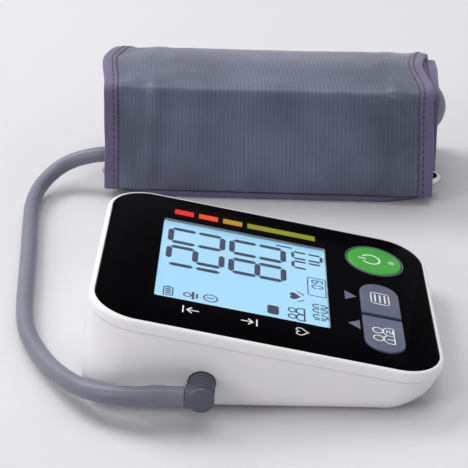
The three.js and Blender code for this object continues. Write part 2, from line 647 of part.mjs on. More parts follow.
function airParts() {
  let socket = solid(rod('y', port.radius, nearWall + 0.4, wallY + port.length, portX, port.z));
  socket = socket.subtract(solid(rod('y', port.bore, wallY - 3, wallY + port.length - 2, portX, port.z)));
  socket = socket.subtract(solid(rod('y', 1, wallY, wallY + port.length + 1, portX, port.z, 12)));
  addPiece(unit, 'air_port', socket, finishes.slateAbs);

  const half = manifold.width / 2;
  const low = port.z - manifold.below;
  const y1 = manifoldY + manifold.depth;
  let body = solid(block(portX - half, portX + half, manifoldY, y1, low, low + manifold.height));
  const right = portX + half;
  const left = portX - half;
  for (const z of [low + 2.4, low + manifold.sensorLevel]) {
    body = body.add(solid(rod('x', manifold.nipple, right - 0.5, right + 1.5, middleY, z, 12)));
  }
  const valveLevel = low + 1.7;
  body = body.add(solid(rod('x', manifold.nipple, left - 1.5, left + 0.5, middleY, valveLevel, 12)));
  body = body.subtract(solid(rod('y', 1, manifoldY - 1, middleY + 1, portX, port.z, 12)));
  addPiece(unit, 'air_manifold', body, finishes.blackPlastic);

  const tubeEnd = 1.5 + gap;
  addPiece(unit, 'pump_tube', tubeAlong([
    [headRight + 2.5 + gap, pumpY, pump.z],
    [headRight + 5.5, pumpY - 0.6, pump.z],
    [headRight + 7.4, pumpY - 4, pump.z - 0.5],
    [headRight + 6.6, middleY + 3, low + 2.5],
    [headRight + 3, middleY + 0.3, low + 2.4],
    [right + tubeEnd, middleY, low + 2.4],
  ], airTube.radius, 8, 14), finishes.silicone);

  const valveHalf = valve.size / 2;
  const valveY = middleY - 1.6;
  const valveRight = left - valveTubeLength - 2.4 - 2 * gap;
  const valveLeft = valveRight - valve.length;
  const valveBottom = floorTop + gap;
  const valveZ = valveBottom + valveHalf;
  let valveBody = solid(block(
    valveLeft, valveRight, valveY - valveHalf, valveY + valveHalf, valveBottom, valveBottom + valve.size,
  ));
  const plungerBore = rod('x', valve.plunger + gap, valveLeft - 1, valveLeft + 6, valveY, valveZ, 16);
  valveBody = valveBody.subtract(solid(plungerBore));
  const outlet = rod('x', manifold.nipple, valveRight - 0.5, valveRight + 0.9, middleY, valveLevel, 12);
  addPiece(unit, 'exhaust_valve', valveBody.add(solid(outlet)), finishes.zinc);
  const plungerLeft = valveLeft - valve.travel;
  const plunger = turned('x', [
    [0, 0], [2.2, 0], [2.2, 0.5], [valve.plunger, 0.5], [valve.plunger, 6], [0, 6],
  ], [plungerLeft, valveY, valveZ], 16);
  addPiece(unit, 'valve_plunger', plunger, finishes.steel);
  const link = rod('x', airTube.radius, valveRight + 0.9 + gap, left - tubeEnd, middleY, valveLevel, 12);
  addPiece(unit, 'valve_tube', link, finishes.silicone);
}

function pressureSensor() {
  const x = 2;
  const y = 5.6 - board.width / 2;
  const top = boardBottom - gap;
  let body = solid(block(x - 4, x + 4, y - 4, y + 4, top - 3.2, top));
  body = body.add(solid(rod('x', manifold.nipple, x - 6, x - 3.5, y, top - 1.8, 12)));
  addPiece(panel, 'pressure_sensor', body, finishes.blackPlastic);
  const tip = new THREE.Vector3(x - 6 - 2 * gap, y, top - 1.8).applyMatrix4(panel.matrix);
  const right = portX + manifold.width / 2;
  const startZ = port.z - manifold.below + manifold.sensorLevel;
  addPiece(unit, 'sensor_tube', tubeAlong([
    [right + 1.5 + 2 * gap, middleY, startZ],
    [right + 3, middleY + 0.1, startZ],
    [tip.x - 1.5, tip.y, tip.z + 0.1],
    [tip.x, tip.y, tip.z],
  ], airTube.radius - 0.4, 8, 8), finishes.silicone);
}

// ---- Hose connector: a ribbed plug that pushes into the port, with a side collar for the hose ----
const plugBack = nearWall - plug.wallGap; // the plug's inner face, just outside the near wall
const plugFront = plugBack - plug.length;
const collarY = plugFront + plug.collarFromEnd; // where the hose meets the plug, square to it

function hoseConnector() {
  const profile = [[0, plugFront], [plug.radius - 0.5, plugFront], [plug.radius, plugFront + 0.5]];
  const ribPitch = (plug.length - 1.6) / plug.ribs;
  for (let i = 0; i < plug.ribs; i++) {
    const y = plugFront + 1.2 + i * ribPitch;
    profile.push([plug.radius, y], [plug.radius - plug.ribDepth, y + 0.5], [plug.radius, y + 1]);
  }
  profile.push([plug.radius, plugBack], [plug.spigot, plugBack], [plug.spigot, plugBack + 4]);
  profile.push([plug.spigot - 0.6, plugBack + 4.2], [plug.spigot - 0.6, plugBack + 5.8]);
  profile.push([plug.spigot, plugBack + 6], [plug.spigot - 0.3, plugBack + plug.spigotLength]);
  profile.push([0, plugBack + plug.spigotLength]);
  let body = solid(turned('y', profile, [portX, 0, port.z], 20));
  const collar = rod('x', plug.collar, portX - plug.collarReach, portX, collarY, port.z, 20);
  body = body.add(solid(collar));
  addPiece(unit, 'hose_connector', body, finishes.hosePvc);
  const seal = turned('y', [
    [plug.spigot - 0.3, plugBack + 4.5], [plug.spigot + 0.1, plugBack + 4.5],
    [plug.spigot + 0.1, plugBack + 5.5], [plug.spigot - 0.3, plugBack + 5.5],
    [plug.spigot - 0.3, plugBack + 4.5],
  ], [portX, 0, port.z], 20);
  addPiece(unit, 'connector_seal', seal, finishes.rubber);
}

// ---- The cuff: a strip of layers wound inwards on a flattened roll ----
// One way round the roll, starting at the foot of the front face and running back along the floor.
function rollSamples() {
  const { depth, height } = cuff;
  const { frontFoot, backFoot, backTop, frontTop } = cuffCorner;
  const corners = [
    [depth - backFoot, backFoot, backFoot, -Math.PI / 2],
    [depth - backTop, height - backTop, backTop, 0],
    [frontTop, height - frontTop, frontTop, Math.PI / 2],
    [frontFoot, frontFoot, frontFoot, Math.PI],
  ];
  const samples = [{ y: frontFoot, z: 0, ny: 0, nz: -1 }];
  for (const [y, z, radius, start] of corners) {
    for (let i = 0; i <= 5; i++) {
      const angle = start + (i / 5) * (Math.PI / 2);
      const ny = Math.cos(angle);
      const nz = Math.sin(angle);
      samples.push({ y: y + radius * ny, z: z + radius * nz, ny, nz });
    }
  }
  let s = 0;
  samples.forEach((sample, i) => {
    if (i > 0) s += Math.hypot(sample.y - samples[i - 1].y, sample.z - samples[i - 1].z);
    sample.s = s;
  });
  return samples;
}

const roll = rollSamples();
const perimeter = roll[roll.length - 1].s;
const wrapPath = [{ y: -cuff.tail, z: 0, ny: 0, nz: -1, s: -cuff.tail - cuffCorner.frontFoot }];
for (let turn = 0; turn < 2; turn++) {
  for (const sample of roll.slice(turn)) wrapPath.push({ ...sample, s: sample.s + turn * perimeter });
}
const wrapStart = wrapPath[0].s;
const wrapEnd = 2 * perimeter - (cuff.innerEnd - cuffCorner.frontFoot) - (Math.PI / 2) * cuffCorner.frontFoot;

// The point of the winding at a length along it, at a depth into its stack of layers.
function woundPoint(s, depthIn) {
  const next = Math.max(1, wrapPath.findIndex((sample) => sample.s >= s));
  const a = wrapPath[next - 1];
  const b = wrapPath[next];
  const part = (s - a.s) / (b.s - a.s);
  const mix = (u, v) => u + (v - u) * part;
  const inward = depthIn + (cuff.pitch * Math.max(s, 0)) / perimeter;
  const x = mix(a.y, b.y) - mix(a.ny, b.ny) * inward;
  return new THREE.Vector2(x, mix(a.z, b.z) - mix(a.nz, b.nz) * inward);
}

// A layer of the winding between two lengths and two depths, across a width along X.
function wound(from, to, outer, inner, x0, x1) {
  const stops = [from, ...wrapPath.map((sample) => sample.s).filter((s) => s > from + 0.5 && s < to - 0.5), to];
  const outside = stops.map((s) => woundPoint(s, outer));
  const inside = stops.map((s) => woundPoint(s, inner));
  const geometry = raised(new THREE.Shape([...outside, ...inside.reverse()]), x0, x1);
  const along = new THREE.Matrix4();
  along.makeBasis(new THREE.Vector3(0, 1, 0), new THREE.Vector3(0, 0, 1), new THREE.Vector3(1, 0, 0));
  return geometry.applyMatrix4(along);
}

const fabricBack = layer.fabric;
const bladderFront = fabricBack + layer.space;
const bladderBack = bladderFront + layer.bladder;
const liningFront = bladderBack + layer.space;
const stack = liningFront + layer.lining;
const layerHalf = cuff.halfLength - binding.width - gap;

function cuffLayers() {
  const start = wrapStart + binding.width + gap;
  const { from, to, halfLength, thickness } = patch;
  const sheet = (s0, s1, outer, inner, half = layerHalf) => wound(s0, s1, outer, inner, -half, half);
  addPiece(cuffGroup, 'cuff_outer_fabric', sheet(start, wrapEnd, 0, fabricBack), finishes.nylon);
  const bladder = sheet(to + 12, wrapEnd - 4, bladderFront, bladderBack, layerHalf - 4);
  addPiece(cuffGroup, 'cuff_bladder', bladder, finishes.bladderFilm);
  addPiece(cuffGroup, 'cuff_lining', sheet(to + gap, wrapEnd, liningFront, stack), finishes.nylon);
  const hook = sheet(start, to, bladderFront + 0.5, stack, halfLength);
  addPiece(cuffGroup, 'cuff_hook_patch', hook, finishes.hook);
  const loops = sheet(perimeter + from, perimeter + to, -gap - thickness, -gap, halfLength);
  addPiece(cuffGroup, 'cuff_loop_patch', loops, finishes.hook);
  const { width, proud } = binding;
  const left = wound(wrapStart, wrapEnd, -proud, stack + proud, -cuff.halfLength, width - cuff.halfLength);
  addPiece(cuffGroup, 'cuff_binding_left', left, finishes.tape);
  const right = wound(wrapStart, wrapEnd, -proud, stack + proud, cuff.halfLength - width, cuff.halfLength);
  addPiece(cuffGroup, 'cuff_binding_right', right, finishes.tape);
  const end = sheet(wrapStart, wrapStart + width, 0, stack);
  addPiece(cuffGroup, 'cuff_end_binding', end, finishes.tape);
}

// ---- Metal ring and the fabric loop that holds its front bar ----
const frontInner = woundPoint(perimeter - cuffCorner.frontFoot * 2, stack + binding.proud);
const footInner = woundPoint(perimeter + cuffCorner.frontFoot + 6, stack + binding.proud);
const loopRadius = ring.wire + gap + ring.loopWall;
const ringY = frontInner.x + gap + loopRadius;
const ringZ = footInner.y + gap + loopRadius;

function metalRing() {
  const bend = ring.depth / 2;
  const straight = ring.halfLength - ring.wire - bend;
  const points = [];
  for (const side of [1, -1]) {
    for (let i = 0; i <= 8; i++) {
      const angle = (Math.PI * i) / 8 - Math.PI / 2;
      const reach = straight + bend * Math.cos(angle);
      points.push(new THREE.Vector3(side * reach, ringY + bend + side * bend * Math.sin(angle), ringZ));
    }
  }
  const sides = 8;
  const positions = [];
  const indices = [];
  points.forEach((point, i) => {
    const before = points[(i + points.length - 1) % points.length];
    const after = points[(i + 1) % points.length];
    const ahead = after.clone().sub(before).normalize();
    const outward = new THREE.Vector3(ahead.y, -ahead.x, 0);
    for (let k = 0; k < sides; k++) {
      const angle = (2 * Math.PI * k) / sides;
      const place = point.clone().addScaledVector(outward, ring.wire * Math.cos(angle));
      positions.push(place.x, place.y, place.z + ring.wire * Math.sin(angle));
    }
  });
  for (let i = 0; i < points.length; i++) {
    for (let k = 0; k < sides; k++) {
      const a = i * sides + k;
      const b = i * sides + ((k + 1) % sides);
      const c = ((i + 1) % points.length) * sides + k;
      const d = ((i + 1) % points.length) * sides + ((k + 1) % sides);
      indices.push(a, c, b, b, c, d);
    }
  }
  const geometry = new THREE.BufferGeometry();
  geometry.setAttribute('position', new THREE.Float32BufferAttribute(positions, 3));
  geometry.setIndex(indices);
  addPiece(cuffGroup, 'metal_ring', geometry, finishes.steel);
}

function ringLoop() {
  const half = ring.loopHalfLength;
  let body = solid(rod('x', loopRadius, -half, half, ringY, ringZ, 20));
  const innerEnd = woundPoint(wrapEnd, stack / 2);
  const tab = block(-half, half, innerEnd.x - 0.6, innerEnd.x + 0.6, ringZ + ring.wire, innerEnd.y - gap);
  body = body.add(solid(tab));
  body = body.subtract(solid(rod('x', ring.wire + gap, -half - 1, half + 1, ringY, ringZ, 16)));
  addPiece(cuffGroup, 'ring_loop', body, finishes.nylon);
}

// ---- Port on the bladder, inside the roll on its back wall ----
const { frontFoot, backFoot } = cuffCorner;
const backWallS = perimeter + cuff.depth - frontFoot - backFoot + (Math.PI / 2) * backFoot + bladderPort.z - backFoot;
const backWall = woundPoint(backWallS, stack);
const hoseY = backWall.x - gap - 1.2 - bladderPort.barrel;

function bladderPortPiece() {
  const { x, z, flange, barrel, length } = bladderPort;
  let body = solid(rod('y', flange, hoseY + barrel - 0.4, backWall.x - gap, x, z, 24));
  body = body.add(solid(rod('x', barrel, 0, length, hoseY, z, 20)));
  addPiece(cuffGroup, 'bladder_port', body, finishes.hosePvc);
}

// ---- Air hose, from the connector's collar round the unit's thick end and through the roll ----
const hoseRoute = [
  [-29.0, -128.5, 12.2], [-34.5, -128.5, 12.2], [-40.4, -128.5, 11.95], [-45.3, -128.0, 11.6],
  [-49.6, -127.1, 11.2], [-54.7, -125.3, 10.6], [-60.0, -122.3, 9.8], [-65.3, -117.7, 8.7],
  [-69.8, -111.9, 7.4], [-75.6, -103.3, 5.9], [-80.5, -94.5, 4.7], [-84.7, -85.5, 3.9],
  [-88.1, -77.4, 3.5], [-90.7, -69.3, 3.4], [-92.6, -60.4, 3.4], [-94.0, -51.2, 3.4],
  [-95.0, -42.5, 3.4], [-96.3, -30.2, 3.4], [-97.6, -18.4, 3.4], [-98.7, -7.7, 3.4],
  [-100.1, 3.7, 3.4], [-101.3, 14.3, 3.4], [-102.4, 24.7, 3.45], [-103.2, 34.1, 3.7],
  [-103.2, 42.6, 4.2], [-102.3, 49.9, 5.1], [-100.2, 56.1, 6.4], [-96.9, 60.7, 8.3],
  [-92.6, 63.4, 10.6], [-87.8, 63.9, 12.8], [-83.0, 63.4, 14.5], [-78.4, 62.7, 15.8],
  [-73.0, 62.1, 16.7],
];
const hoseInside = [
  [-64, 13.2, 17.0], [-55, 15.0, 16.8], [-46, 18.4, 16.0], [-36, 23.2, 13.9],
  [-25, 26.6, 11.6], [-12, 28.0, 10.5], [2, 27.4, 10.9], [15, 25.0, 13.0], [27, 20.9, 17.0],
  [37, 17.1, 21.6], [45, 14.9, 25.4],
];
const uTurn = { x: 50, y: 37.5, z: 33.6, radius: 24.3, lean: THREE.MathUtils.degToRad(15) };

function airHose() {
  const inCuff = hoseInside.map((p) => [...p]);
  for (let i = 1; i < 10; i++) {
    const angle = -Math.PI / 2 + (Math.PI * i) / 10;
    const across = uTurn.radius * Math.sin(angle);
    const x = uTurn.x + uTurn.radius * Math.cos(angle);
    inCuff.push([x, uTurn.y + across * Math.cos(uTurn.lean), uTurn.z + across * Math.sin(uTurn.lean)]);
  }
  inCuff.push([44, hoseY - 0.1, 39.0], [35, hoseY, 35.4], [26, hoseY, 31.2], [19.5, hoseY, 29.1]);
  inCuff.push([bladderPort.length + 1.5 * gap, hoseY, bladderPort.z]);
  cuffGroup.updateMatrix();
  const moved = inCuff.map((p) => new THREE.Vector3(...p).applyMatrix4(cuffGroup.matrix).toArray());
  const points = [...hoseRoute, ...moved];
  addPiece(monitor, 'air_hose', tubeAlong(points, hose.radius, hose.sides, 56), finishes.hosePvc);
}

// ---- Assembly ----
addPiece(unit, 'upper_case', upperCase(), finishes.whiteAbs);
addPiece(unit, 'lower_case', lowerCase(), finishes.whiteAbs);
addPiece(unit, 'battery_door', batteryDoor(), finishes.whiteAbs);
addPiece(panel, 'front_panel', frontPanel(), finishes.blackAcrylic);
displayParts();
keys();
fasteners();
batteries();
contacts();
pumpParts();
airParts();
pressureSensor();
hoseConnector();
cuffLayers();
metalRing();
ringLoop();
bladderPortPiece();
airHose();

export default monitor;
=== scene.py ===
# Upper arm blood pressure monitor: the desk unit, its air hose and the rolled cuff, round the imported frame.
import math
import bpy
from mathutils import Matrix, Vector, noise


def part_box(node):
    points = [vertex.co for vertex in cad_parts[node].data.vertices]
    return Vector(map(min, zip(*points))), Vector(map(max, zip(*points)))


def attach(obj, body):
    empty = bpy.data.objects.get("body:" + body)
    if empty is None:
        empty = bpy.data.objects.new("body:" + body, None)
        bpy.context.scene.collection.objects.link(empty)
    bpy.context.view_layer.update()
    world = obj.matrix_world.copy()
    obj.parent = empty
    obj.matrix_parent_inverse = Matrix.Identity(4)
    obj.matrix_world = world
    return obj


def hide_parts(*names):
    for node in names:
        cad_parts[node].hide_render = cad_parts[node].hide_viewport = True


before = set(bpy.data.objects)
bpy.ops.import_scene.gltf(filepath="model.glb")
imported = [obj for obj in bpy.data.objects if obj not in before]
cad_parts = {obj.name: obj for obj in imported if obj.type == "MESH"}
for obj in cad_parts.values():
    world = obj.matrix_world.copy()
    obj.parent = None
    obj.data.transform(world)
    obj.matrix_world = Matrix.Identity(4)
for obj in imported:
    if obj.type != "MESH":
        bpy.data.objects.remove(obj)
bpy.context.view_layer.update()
millimetre = 0.001
bpy.context.scene.view_settings.view_transform = "Standard"
print("frame loaded:", len(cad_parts), "nodes")


# Camera: a long lens, level with the horizon, looking down on the unit's near side
cameraSet = {
    "place": (-0.00343, -0.54788, 0.28275),
    "forward": (-0.01883, 0.89393, -0.44782),
    "roll": -0.14,  # degrees
    "lens": 114.79,
}


def makeCamera():
    bpy.ops.object.select_all(action="DESELECT")
    bpy.ops.object.camera_add(location=cameraSet["place"])
    camera = bpy.context.object
    forward = Vector(cameraSet["forward"]).normalized()
    turned = forward.to_track_quat("-Z", "Y").to_matrix().to_4x4()
    rolled = turned @ Matrix.Rotation(math.radians(cameraSet["roll"]), 4, "Z")
    camera.matrix_world = Matrix.Translation(cameraSet["place"]) @ rolled
    camera.data.lens = cameraSet["lens"]
    camera.data.sensor_width = 36
    camera.data.clip_start = 0.05
    bpy.context.scene.camera = camera


makeCamera()


# Small tools. Pieces are shaped in millimetres and scaled to metres when they are placed.
def linear(hexColour):
    values = [int(hexColour[i:i + 2], 16) / 255 for i in (1, 3, 5)]
    bent = [v / 12.92 if v <= 0.04045 else ((v + 0.055) / 1.055) ** 2.4 for v in values]
    return (*bent, 1.0)


def clearSelection():
    if bpy.context.mode != "OBJECT":
        bpy.ops.object.mode_set(mode="OBJECT")
    bpy.ops.object.select_all(action="DESELECT")


def makeActive(piece):
    clearSelection()
    piece.select_set(True)
    bpy.context.view_layer.objects.active = piece


def faceOutwards(piece):
    makeActive(piece)
    bpy.ops.object.mode_set(mode="EDIT")
    bpy.ops.mesh.select_all(action="SELECT")
    bpy.ops.mesh.normals_make_consistent(inside=False)
    bpy.ops.object.mode_set(mode="OBJECT")


def roundEdges(piece, test, radius, segments):  # bevels the edges whose two ends pass the test
    makeActive(piece)
    bpy.ops.object.mode_set(mode="EDIT")
    bpy.ops.mesh.select_mode(type="EDGE")
    bpy.ops.mesh.select_all(action="DESELECT")
    bpy.ops.object.mode_set(mode="OBJECT")
    points = [v.co.copy() for v in piece.data.vertices]
    for edge in piece.data.edges:
        edge.select = test([points[i] for i in edge.vertices])
    bpy.ops.object.mode_set(mode="EDIT")
    bpy.ops.mesh.bevel(offset=radius, segments=segments, affect="EDGES", clamp_overlap=False)
    bpy.ops.object.mode_set(mode="OBJECT")


nearEnough = 1e-3  # mm, for telling which way an edge runs and at what level


def along(axis, points):  # an edge that runs along an axis
    gap = points[0] - points[1]
    sideways = sum(abs(gap[k]) for k in range(3) if k != axis)
    return abs(gap[axis]) > nearEnough and sideways < nearEnough


def atLevel(level, points, axis=2):
    return all(abs(p[axis] - level) < nearEnough for p in points)


def newBox(name, low, high):
    clearSelection()
    middle = [(a + b) / 2 for a, b in zip(low, high)]
    size = [b - a for a, b in zip(low, high)]
    bpy.ops.mesh.primitive_cube_add(size=1, location=middle, scale=size)
    piece = bpy.context.object
    piece.name = name
    bpy.ops.object.transform_apply(location=True, rotation=True, scale=True)
    return piece


def roundedPlate(name, length, width, corner, z0, z1, x=0, y=0, segments=14):
    piece = newBox(name, (x - length / 2, y - width / 2, z0), (x + length / 2, y + width / 2, z1))
    roundEdges(piece, lambda p: along(2, p), corner, segments)
    return piece


# A round piece from (radius, level) pairs: a disc, extruded and resized level by level along Z
def turnedPiece(name, profile, sides=48, x=0, y=0):
    clearSelection()
    radius, level = profile[0]
    bpy.ops.mesh.primitive_circle_add(vertices=sides, radius=radius, fill_type="NGON", location=(0, 0, level))
    piece = bpy.context.object
    piece.name = name
    bpy.ops.object.transform_apply(location=True, rotation=True, scale=True)
    bpy.ops.object.mode_set(mode="EDIT")
    bpy.ops.mesh.select_all(action="SELECT")
    for nextRadius, nextLevel in profile[1:]:
        bpy.ops.mesh.extrude_region_move(TRANSFORM_OT_translate={"value": (0, 0, nextLevel - level)})
        share = nextRadius / radius
        bpy.ops.transform.resize(value=(share, share, 1), center_override=(0, 0, nextLevel))
        radius, level = nextRadius, nextLevel
    bpy.ops.object.mode_set(mode="OBJECT")
    faceOutwards(piece)
    piece.data.transform(Matrix.Translation((x, y, 0)))
    return piece


# Faces of a closed section carried along rows of points, with both ends shut
def sleeveFaces(rows, sides, start=0):
    faces = []
    for i in range(rows - 1):
        a = start + i * sides
        for j in range(sides):
            k = (j + 1) % sides
            faces.append((a + j, a + k, a + sides + k, a + sides + j))
    last = start + rows * sides - 1
    return faces + [tuple(range(start, start + sides)), tuple(range(last, last - sides, -1))]


def middleOf(low, high):
    return (low.x + high.x) / 2, (low.y + high.y) / 2


# A round tube along a line of points, still a curve
def tubeCurve(name, line, radius):
    curve = bpy.data.curves.new(name, "CURVE")
    curve.dimensions = "3D"
    spline = curve.splines.new("POLY")
    spline.points.add(len(line) - 1)
    for point, place in zip(spline.points, line):
        point.co = (*place, 1)
    curve.bevel_depth = radius
    curve.bevel_resolution = 6
    tube = bpy.data.objects.new(name, curve)
    bpy.context.scene.collection.objects.link(tube)
    return tube, spline


def applyModifier(piece, kind, **settings):
    makeActive(piece)
    modifier = piece.modifiers.new(kind.title(), kind)
    for key, value in settings.items():
        setattr(modifier, key, value)
    bpy.ops.object.modifier_apply(modifier=modifier.name)


def carve(piece, tool, operation="DIFFERENCE"):
    applyModifier(piece, "BOOLEAN", object=tool, operation=operation, solver="EXACT")
    bpy.data.objects.remove(tool)


def joinPieces(name, pieces):
    clearSelection()
    for piece in pieces:
        piece.select_set(True)
    bpy.context.view_layer.objects.active = pieces[0]
    if len(pieces) > 1:
        bpy.ops.object.join()
    pieces[0].name = name
    return pieces[0]


def placePiece(piece, matrix):  # matrix in millimetres; the object itself stays at the origin
    piece.data.transform(Matrix.Scale(millimetre, 4) @ matrix)
    piece.data.update()
    return piece


def smoothPiece(piece, angle=32):
    makeActive(piece)
    bpy.ops.object.shade_smooth_by_angle(angle=math.radians(angle))


def meshPiece(name, points, faces):
    mesh = bpy.data.meshes.new(name)
    mesh.from_pydata(points, [], faces)
    mesh.update()
    piece = bpy.data.objects.new(name, mesh)
    bpy.context.scene.collection.objects.link(piece)
    return piece


def settle(piece, body, finish, nodes=(), angle=32):  # smooth, finish and hang on its body
    smoothPiece(piece, angle)
    if finish is not None:
        piece.data.materials.clear()
        piece.data.materials.append(finish)
    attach(piece, body)
    if nodes:
        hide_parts(*nodes)
    return piece


def easeStep(value):
    value = max(0.0, min(1.0, value))
    return value * value * (3 - 2 * value)


# Materials
def addNode(tree, kind, settings=None, links=None):  # links: input name or number -> output socket
    node = tree.nodes.new(kind)
    for key, value in (settings or {}).items():
        if key in node.inputs and not hasattr(type(node), key):
            node.inputs[key].default_value = value
        else:
            setattr(node, key, value)
    for key, socket in (links or {}).items():
        tree.links.new(socket, node.inputs[key])
    return node


def startMaterial(name, hexColour, roughness, sockets=None):  # sockets: further constants of the shader
    finish = bpy.data.materials.new(name)
    finish.use_nodes = True
    tree = finish.node_tree
    shader = tree.nodes["Principled BSDF"]
    shader.inputs["Base Color"].default_value = linear(hexColour)
    shader.inputs["Roughness"].default_value = roughness
    for key, value in (sockets or {}).items():
        shader.inputs[key].default_value = value
    return finish, tree, shader, addNode(tree, "ShaderNodeTexCoord").outputs["Object"]


def twoTones(tree, fac, darkHex, paleHex, low=0.0, high=1.0):
    ramp = addNode(tree, "ShaderNodeValToRGB", {}, {"Fac": fac})
    for stop, colour, position in zip(ramp.color_ramp.elements, (darkHex, paleHex), (low, high)):
        stop.color = linear(colour)
        stop.position = position
    return ramp.outputs["Color"]


def mottle(tree, shader, place, darkHex, paleHex, scale):  # slow colour variation
    spots = addNode(tree, "ShaderNodeTexNoise", {"Scale": scale, "Detail": 3.0}, {"Vector": place})
    tone = twoTones(tree, spots.outputs["Fac"], darkHex, paleHex, 0.3, 0.7)
    tree.links.new(tone, shader.inputs["Base Color"])


def addRelief(tree, shader, height, strength, depth):  # depth in metres
    bump = addNode(tree, "ShaderNodeBump", {"Strength": strength, "Distance": depth}, {"Height": height})
    tree.links.new(bump.outputs["Normal"], shader.inputs["Normal"])


def grain(tree, shader, place, scale, strength, depth, detail=2.0):  # fine surface relief
    relief = addNode(tree, "ShaderNodeTexNoise", {"Scale": scale, "Detail": detail}, {"Vector": place})
    addRelief(tree, shader, relief.outputs["Fac"], strength, depth)


# A material of two near tones and, where relief is given, a fine grain: scale, strength, depth in metres
def plainFinish(name, hexColour, roughness, tones, scale, relief=None, sockets=None):
    finish, tree, shader, place = startMaterial(name, hexColour, roughness, sockets)
    mottle(tree, shader, place, *tones, scale)
    if relief:
        grain(tree, shader, place, *relief)
    return finish


def printInk(name, darkHex, paleHex):  # screen-printed ink: flat, very slightly uneven
    return plainFinish(name, darkHex, 0.45, (darkHex, paleHex), 700, (1800, 0.1, 0.00002),
                       {"Specular IOR Level": 0.12})


def plainCloth(name, darkHex, paleHex, scale, strength):  # lining, hook and loop pile, thread
    return plainFinish(name, darkHex, 0.85, (darkHex, paleHex), scale / 6, (scale, strength, 0.0003, 1.0),
                       {"Sheen Weight": 0.25})


def plainPlastic(name, darkHex, paleHex, roughness):  # inner mouldings, tubes and rubber
    return plainFinish(name, darkHex, roughness, (darkHex, paleHex), 150, (1800, 0.15, 0.00006))


def platedMetal(name, darkHex, paleHex, roughness, scale):  # nickel or zinc over steel, with faint wear
    return plainFinish(name, paleHex, roughness, (darkHex, paleHex), scale, (scale * 12, 0.06, 0.00003),
                       {"Metallic": 1.0})


def windowAcrylic():  # clear window, polished
    finish, tree, shader, place = startMaterial(
        "clearAcrylic", "#ffffff", 0.03, {"IOR": 1.1, "Transmission Weight": 1.0, "Specular IOR Level": 0.2})
    grain(tree, shader, place, 120, 0.02, 0.00002)
    return finish


def displayGlass():  # liquid crystal glass over a blue-white light guide: glows, a little uneven
    finish, tree, shader, place = startMaterial("blueLitGlass", "#3a4c58", 0.3, {"Emission Strength": 0.93})
    glow = addNode(tree, "ShaderNodeTexNoise", {"Scale": 26.0, "Detail": 1.0}, {"Vector": place})
    tree.links.new(twoTones(tree, glow.outputs["Fac"], "#8ecbf0", "#a4dbf8"), shader.inputs["Emission Color"])
    return finish


def segmentInkAndGlow():  # dark blue liquid crystal segments, seen against the lit glass; their faint blue glow is painted light that lifts them from black to navy
    finish, tree, shader, place = startMaterial(
        "liquidCrystalSegments", "#10163a", 0.5,
        # painted light: a faint glow in the segments' own navy, so they read lighter than unlit ink
        {"Emission Color": linear("#1a2350"), "Emission Strength": 0.25})
    grain(tree, shader, place, 900, 0.05, 0.00001)
    return finish


# A wave over the cloth's own map, turned by an angle and read in millimetres
def clothWave(tree, degrees, **settings):
    cloth = addNode(tree, "ShaderNodeUVMap", {"uv_map": "clothUV"}).outputs["UV"]
    turned = addNode(tree, "ShaderNodeMapping",
                     {"Rotation": (0, 0, math.radians(degrees)), "Scale": (1000, 1000, 1)}, {"Vector": cloth})
    wave = {key.title().replace("_", " "): value for key, value in settings.items()}
    return addNode(tree, "ShaderNodeTexWave", wave, {"Vector": turned.outputs["Vector"]}).outputs["Fac"]


def darken(tree, tone, fac, hexColour):  # multiplied by a colour as far as fac says
    mix = addNode(tree, "ShaderNodeMix", {"data_type": "RGBA", "blend_type": "MULTIPLY"}, {0: fac, 6: tone})
    mix.inputs[7].default_value = linear(hexColour)
    return mix.outputs[2]


def cuffNylon():  # calendered nylon cloth: twill lines at about one millimetre, drawn coarse enough to show
    finish, tree, shader, place = startMaterial(
        "calenderedCuffNylon", "#535a6a", 0.4, {"Sheen Weight": 0.25, "Sheen Roughness": 0.4})
    lines = clothWave(tree, 52, scale=0.29, distortion=0.4, detail=1.0)
    threads = clothWave(tree, -38, scale=0.45, distortion=0.2)
    weave = addNode(tree, "ShaderNodeMath", {"operation": "MULTIPLY"}, {0: lines, 1: threads}).outputs["Value"]
    # drawn threads, about 1.8 mm apart
    streaks = clothWave(tree, 0, scale=0.17, distortion=1.6, detail=2.0, detail_scale=0.2)
    slow = addNode(tree, "ShaderNodeTexNoise", {"Scale": 28.0, "Detail": 4.0}, {"Vector": place})
    tone = twoTones(tree, slow.outputs["Fac"], "#505769", "#6c758c", 0.35, 0.68)
    tone = darken(tree, darken(tree, tone, weave, "#b6b8c0"), streaks, "#dfe1e8")
    tree.links.new(tone, shader.inputs["Base Color"])
    addRelief(tree, shader, weave, 0.35, 0.00015)
    return finish


def bindingTape():  # ribbed polyester tape folded over the raw edge
    finish, tree, shader, place = startMaterial("ribbedEdgeTape", "#6b5f85", 0.72, {"Sheen Weight": 0.3})
    ribs = clothWave(tree, 28, scale=0.42, distortion=0.8, detail=1.0)
    slow = addNode(tree, "ShaderNodeTexNoise", {"Scale": 55.0, "Detail": 3.0}, {"Vector": place})
    tone = twoTones(tree, slow.outputs["Fac"], "#5d5276", "#776a90")
    tree.links.new(darken(tree, tone, ribs, "#cdccd2"), shader.inputs["Base Color"])
    addRelief(tree, shader, ribs, 0.4, 0.00018)
    return finish


